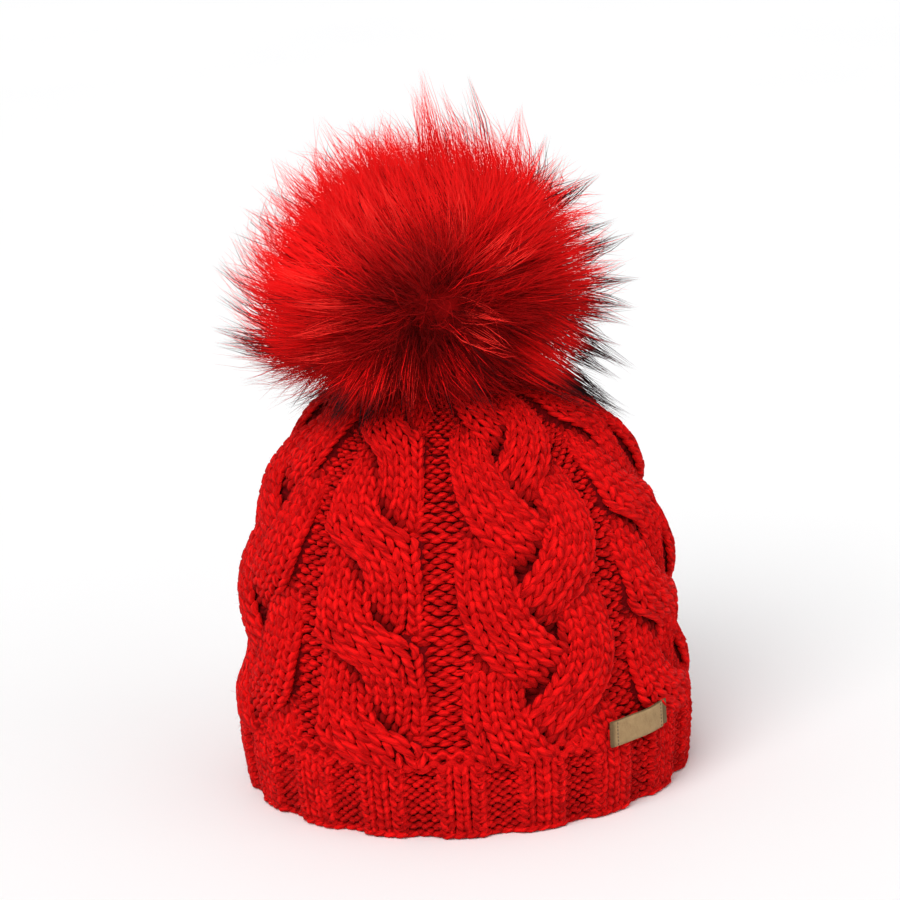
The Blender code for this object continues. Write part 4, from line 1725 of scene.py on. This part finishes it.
@dataclass
class Studio:
    """A pale floor, soft light, and the photograph's camera."""

    eye: Spot = (0.0, -1.2667, 0.4524)
    target: Spot = (-0.0005, 0.0, 0.1374)
    roll: float = math.radians(3.3)
    sensor: float = 36.0
    focal_pixels: float = 3120.0
    picture: int = 900
    floor_half: float = 60.0
    world_strength: float = 0.60
    floor_finish: PlainFinish = PlainFinish((0.92, 0.92, 0.925), (0.94, 0.94, 0.94), 0.7, 3.0)

    def camera(self) -> None:
        """The camera, turned about its own axis by the photograph's tilt."""
        data = bpy.data.cameras.new("camera")
        data.sensor_width = self.sensor
        data.lens = self.sensor * self.focal_pixels / self.picture
        camera = bpy.data.objects.new("camera", data)
        bpy.context.scene.collection.objects.link(camera)
        eye, target = Vector(self.eye), Vector(self.target)
        forward = (target - eye).normalized()
        right = forward.cross(Vector((0, 0, 1))).normalized()
        up = right.cross(forward)
        turned_right = right * math.cos(self.roll) - up * math.sin(self.roll)
        turned_up = right * math.sin(self.roll) + up * math.cos(self.roll)
        matrix = Matrix((turned_right, turned_up, -forward)).transposed().to_4x4()
        matrix.translation = eye
        camera.matrix_world = matrix
        bpy.context.scene.camera = camera

    def floor(self) -> None:
        """The floor."""
        half = self.floor_half
        corners = [(-half, -half, 0.0), (half, -half, 0.0), (half, half, 0.0), (-half, half, 0.0)]
        mesh = bpy.data.meshes.new("floor")
        mesh.from_pydata(corners, [], [(0, 1, 2, 3)])
        mesh.materials.append(self.floor_finish.material("pale_floor"))
        floor = bpy.data.objects.new("floor", mesh)
        bpy.context.scene.collection.objects.link(floor)

    def sun(self, name: str, place: Spot, strength: float, breadth: float) -> None:
        """A broad, soft light that is equally bright all over the floor.

        Args:
            name: The light's name.
            place: A point that it shines from, towards the hat's middle.
            strength: Its strength.
            breadth: How wide it looks from the hat, in degrees.
        """
        data = bpy.data.lights.new(name, "SUN")
        data.energy = strength
        data.angle = math.radians(breadth)
        lamp = bpy.data.objects.new(name, data)
        lamp.location = place
        lamp.rotation_euler = (Vector((0, 0, 0.14)) - Vector(place)).to_track_quat("-Z", "Y").to_euler()
        bpy.context.scene.collection.objects.link(lamp)

    def build(self) -> None:
        """Builds the studio."""
        world = bpy.data.worlds.new("studio")
        world.use_nodes = True
        background = world.node_tree.nodes["Background"]
        background.inputs["Color"].default_value = (1.0, 1.0, 1.0, 1.0)
        background.inputs["Strength"].default_value = self.world_strength
        bpy.context.scene.world = world
        bpy.context.scene.view_settings.view_transform = "Standard"
        self.sun("key", (-0.40, -0.85, 1.25), 1.96, 38.0)
        self.sun("fill", (1.2, -0.8, 0.6), 0.46, 60.0)
        self.floor()
        self.camera()


def main() -> None:
    """Builds the hat and its studio in order, and reports each piece."""
    logging.basicConfig(level=logging.INFO, format="%(name)s: %(message)s")
    ground = KnitGround()
    wool, backing = WoolFinish(), BackingFinish()
    Studio().build()
    surfaces = CableKnit(ground, wool, backing).build()
    surfaces += RibBand(ground, wool, backing).build()
    Fuzz().build(surfaces)
    Pompom(ground, FurFinish()).build()
    TabLabel(TapeFinish(), PlainFinish((0.10, 0.06, 0.03), (0.20, 0.13, 0.07))).build()
    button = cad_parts["tie_button"]
    button.data.materials.clear()
    button.data.materials.append(PlainFinish((0.16, 0.004, 0.006), (0.26, 0.008, 0.010), 0.35).material("red_button"))


if __name__ == "__main__":
    main()
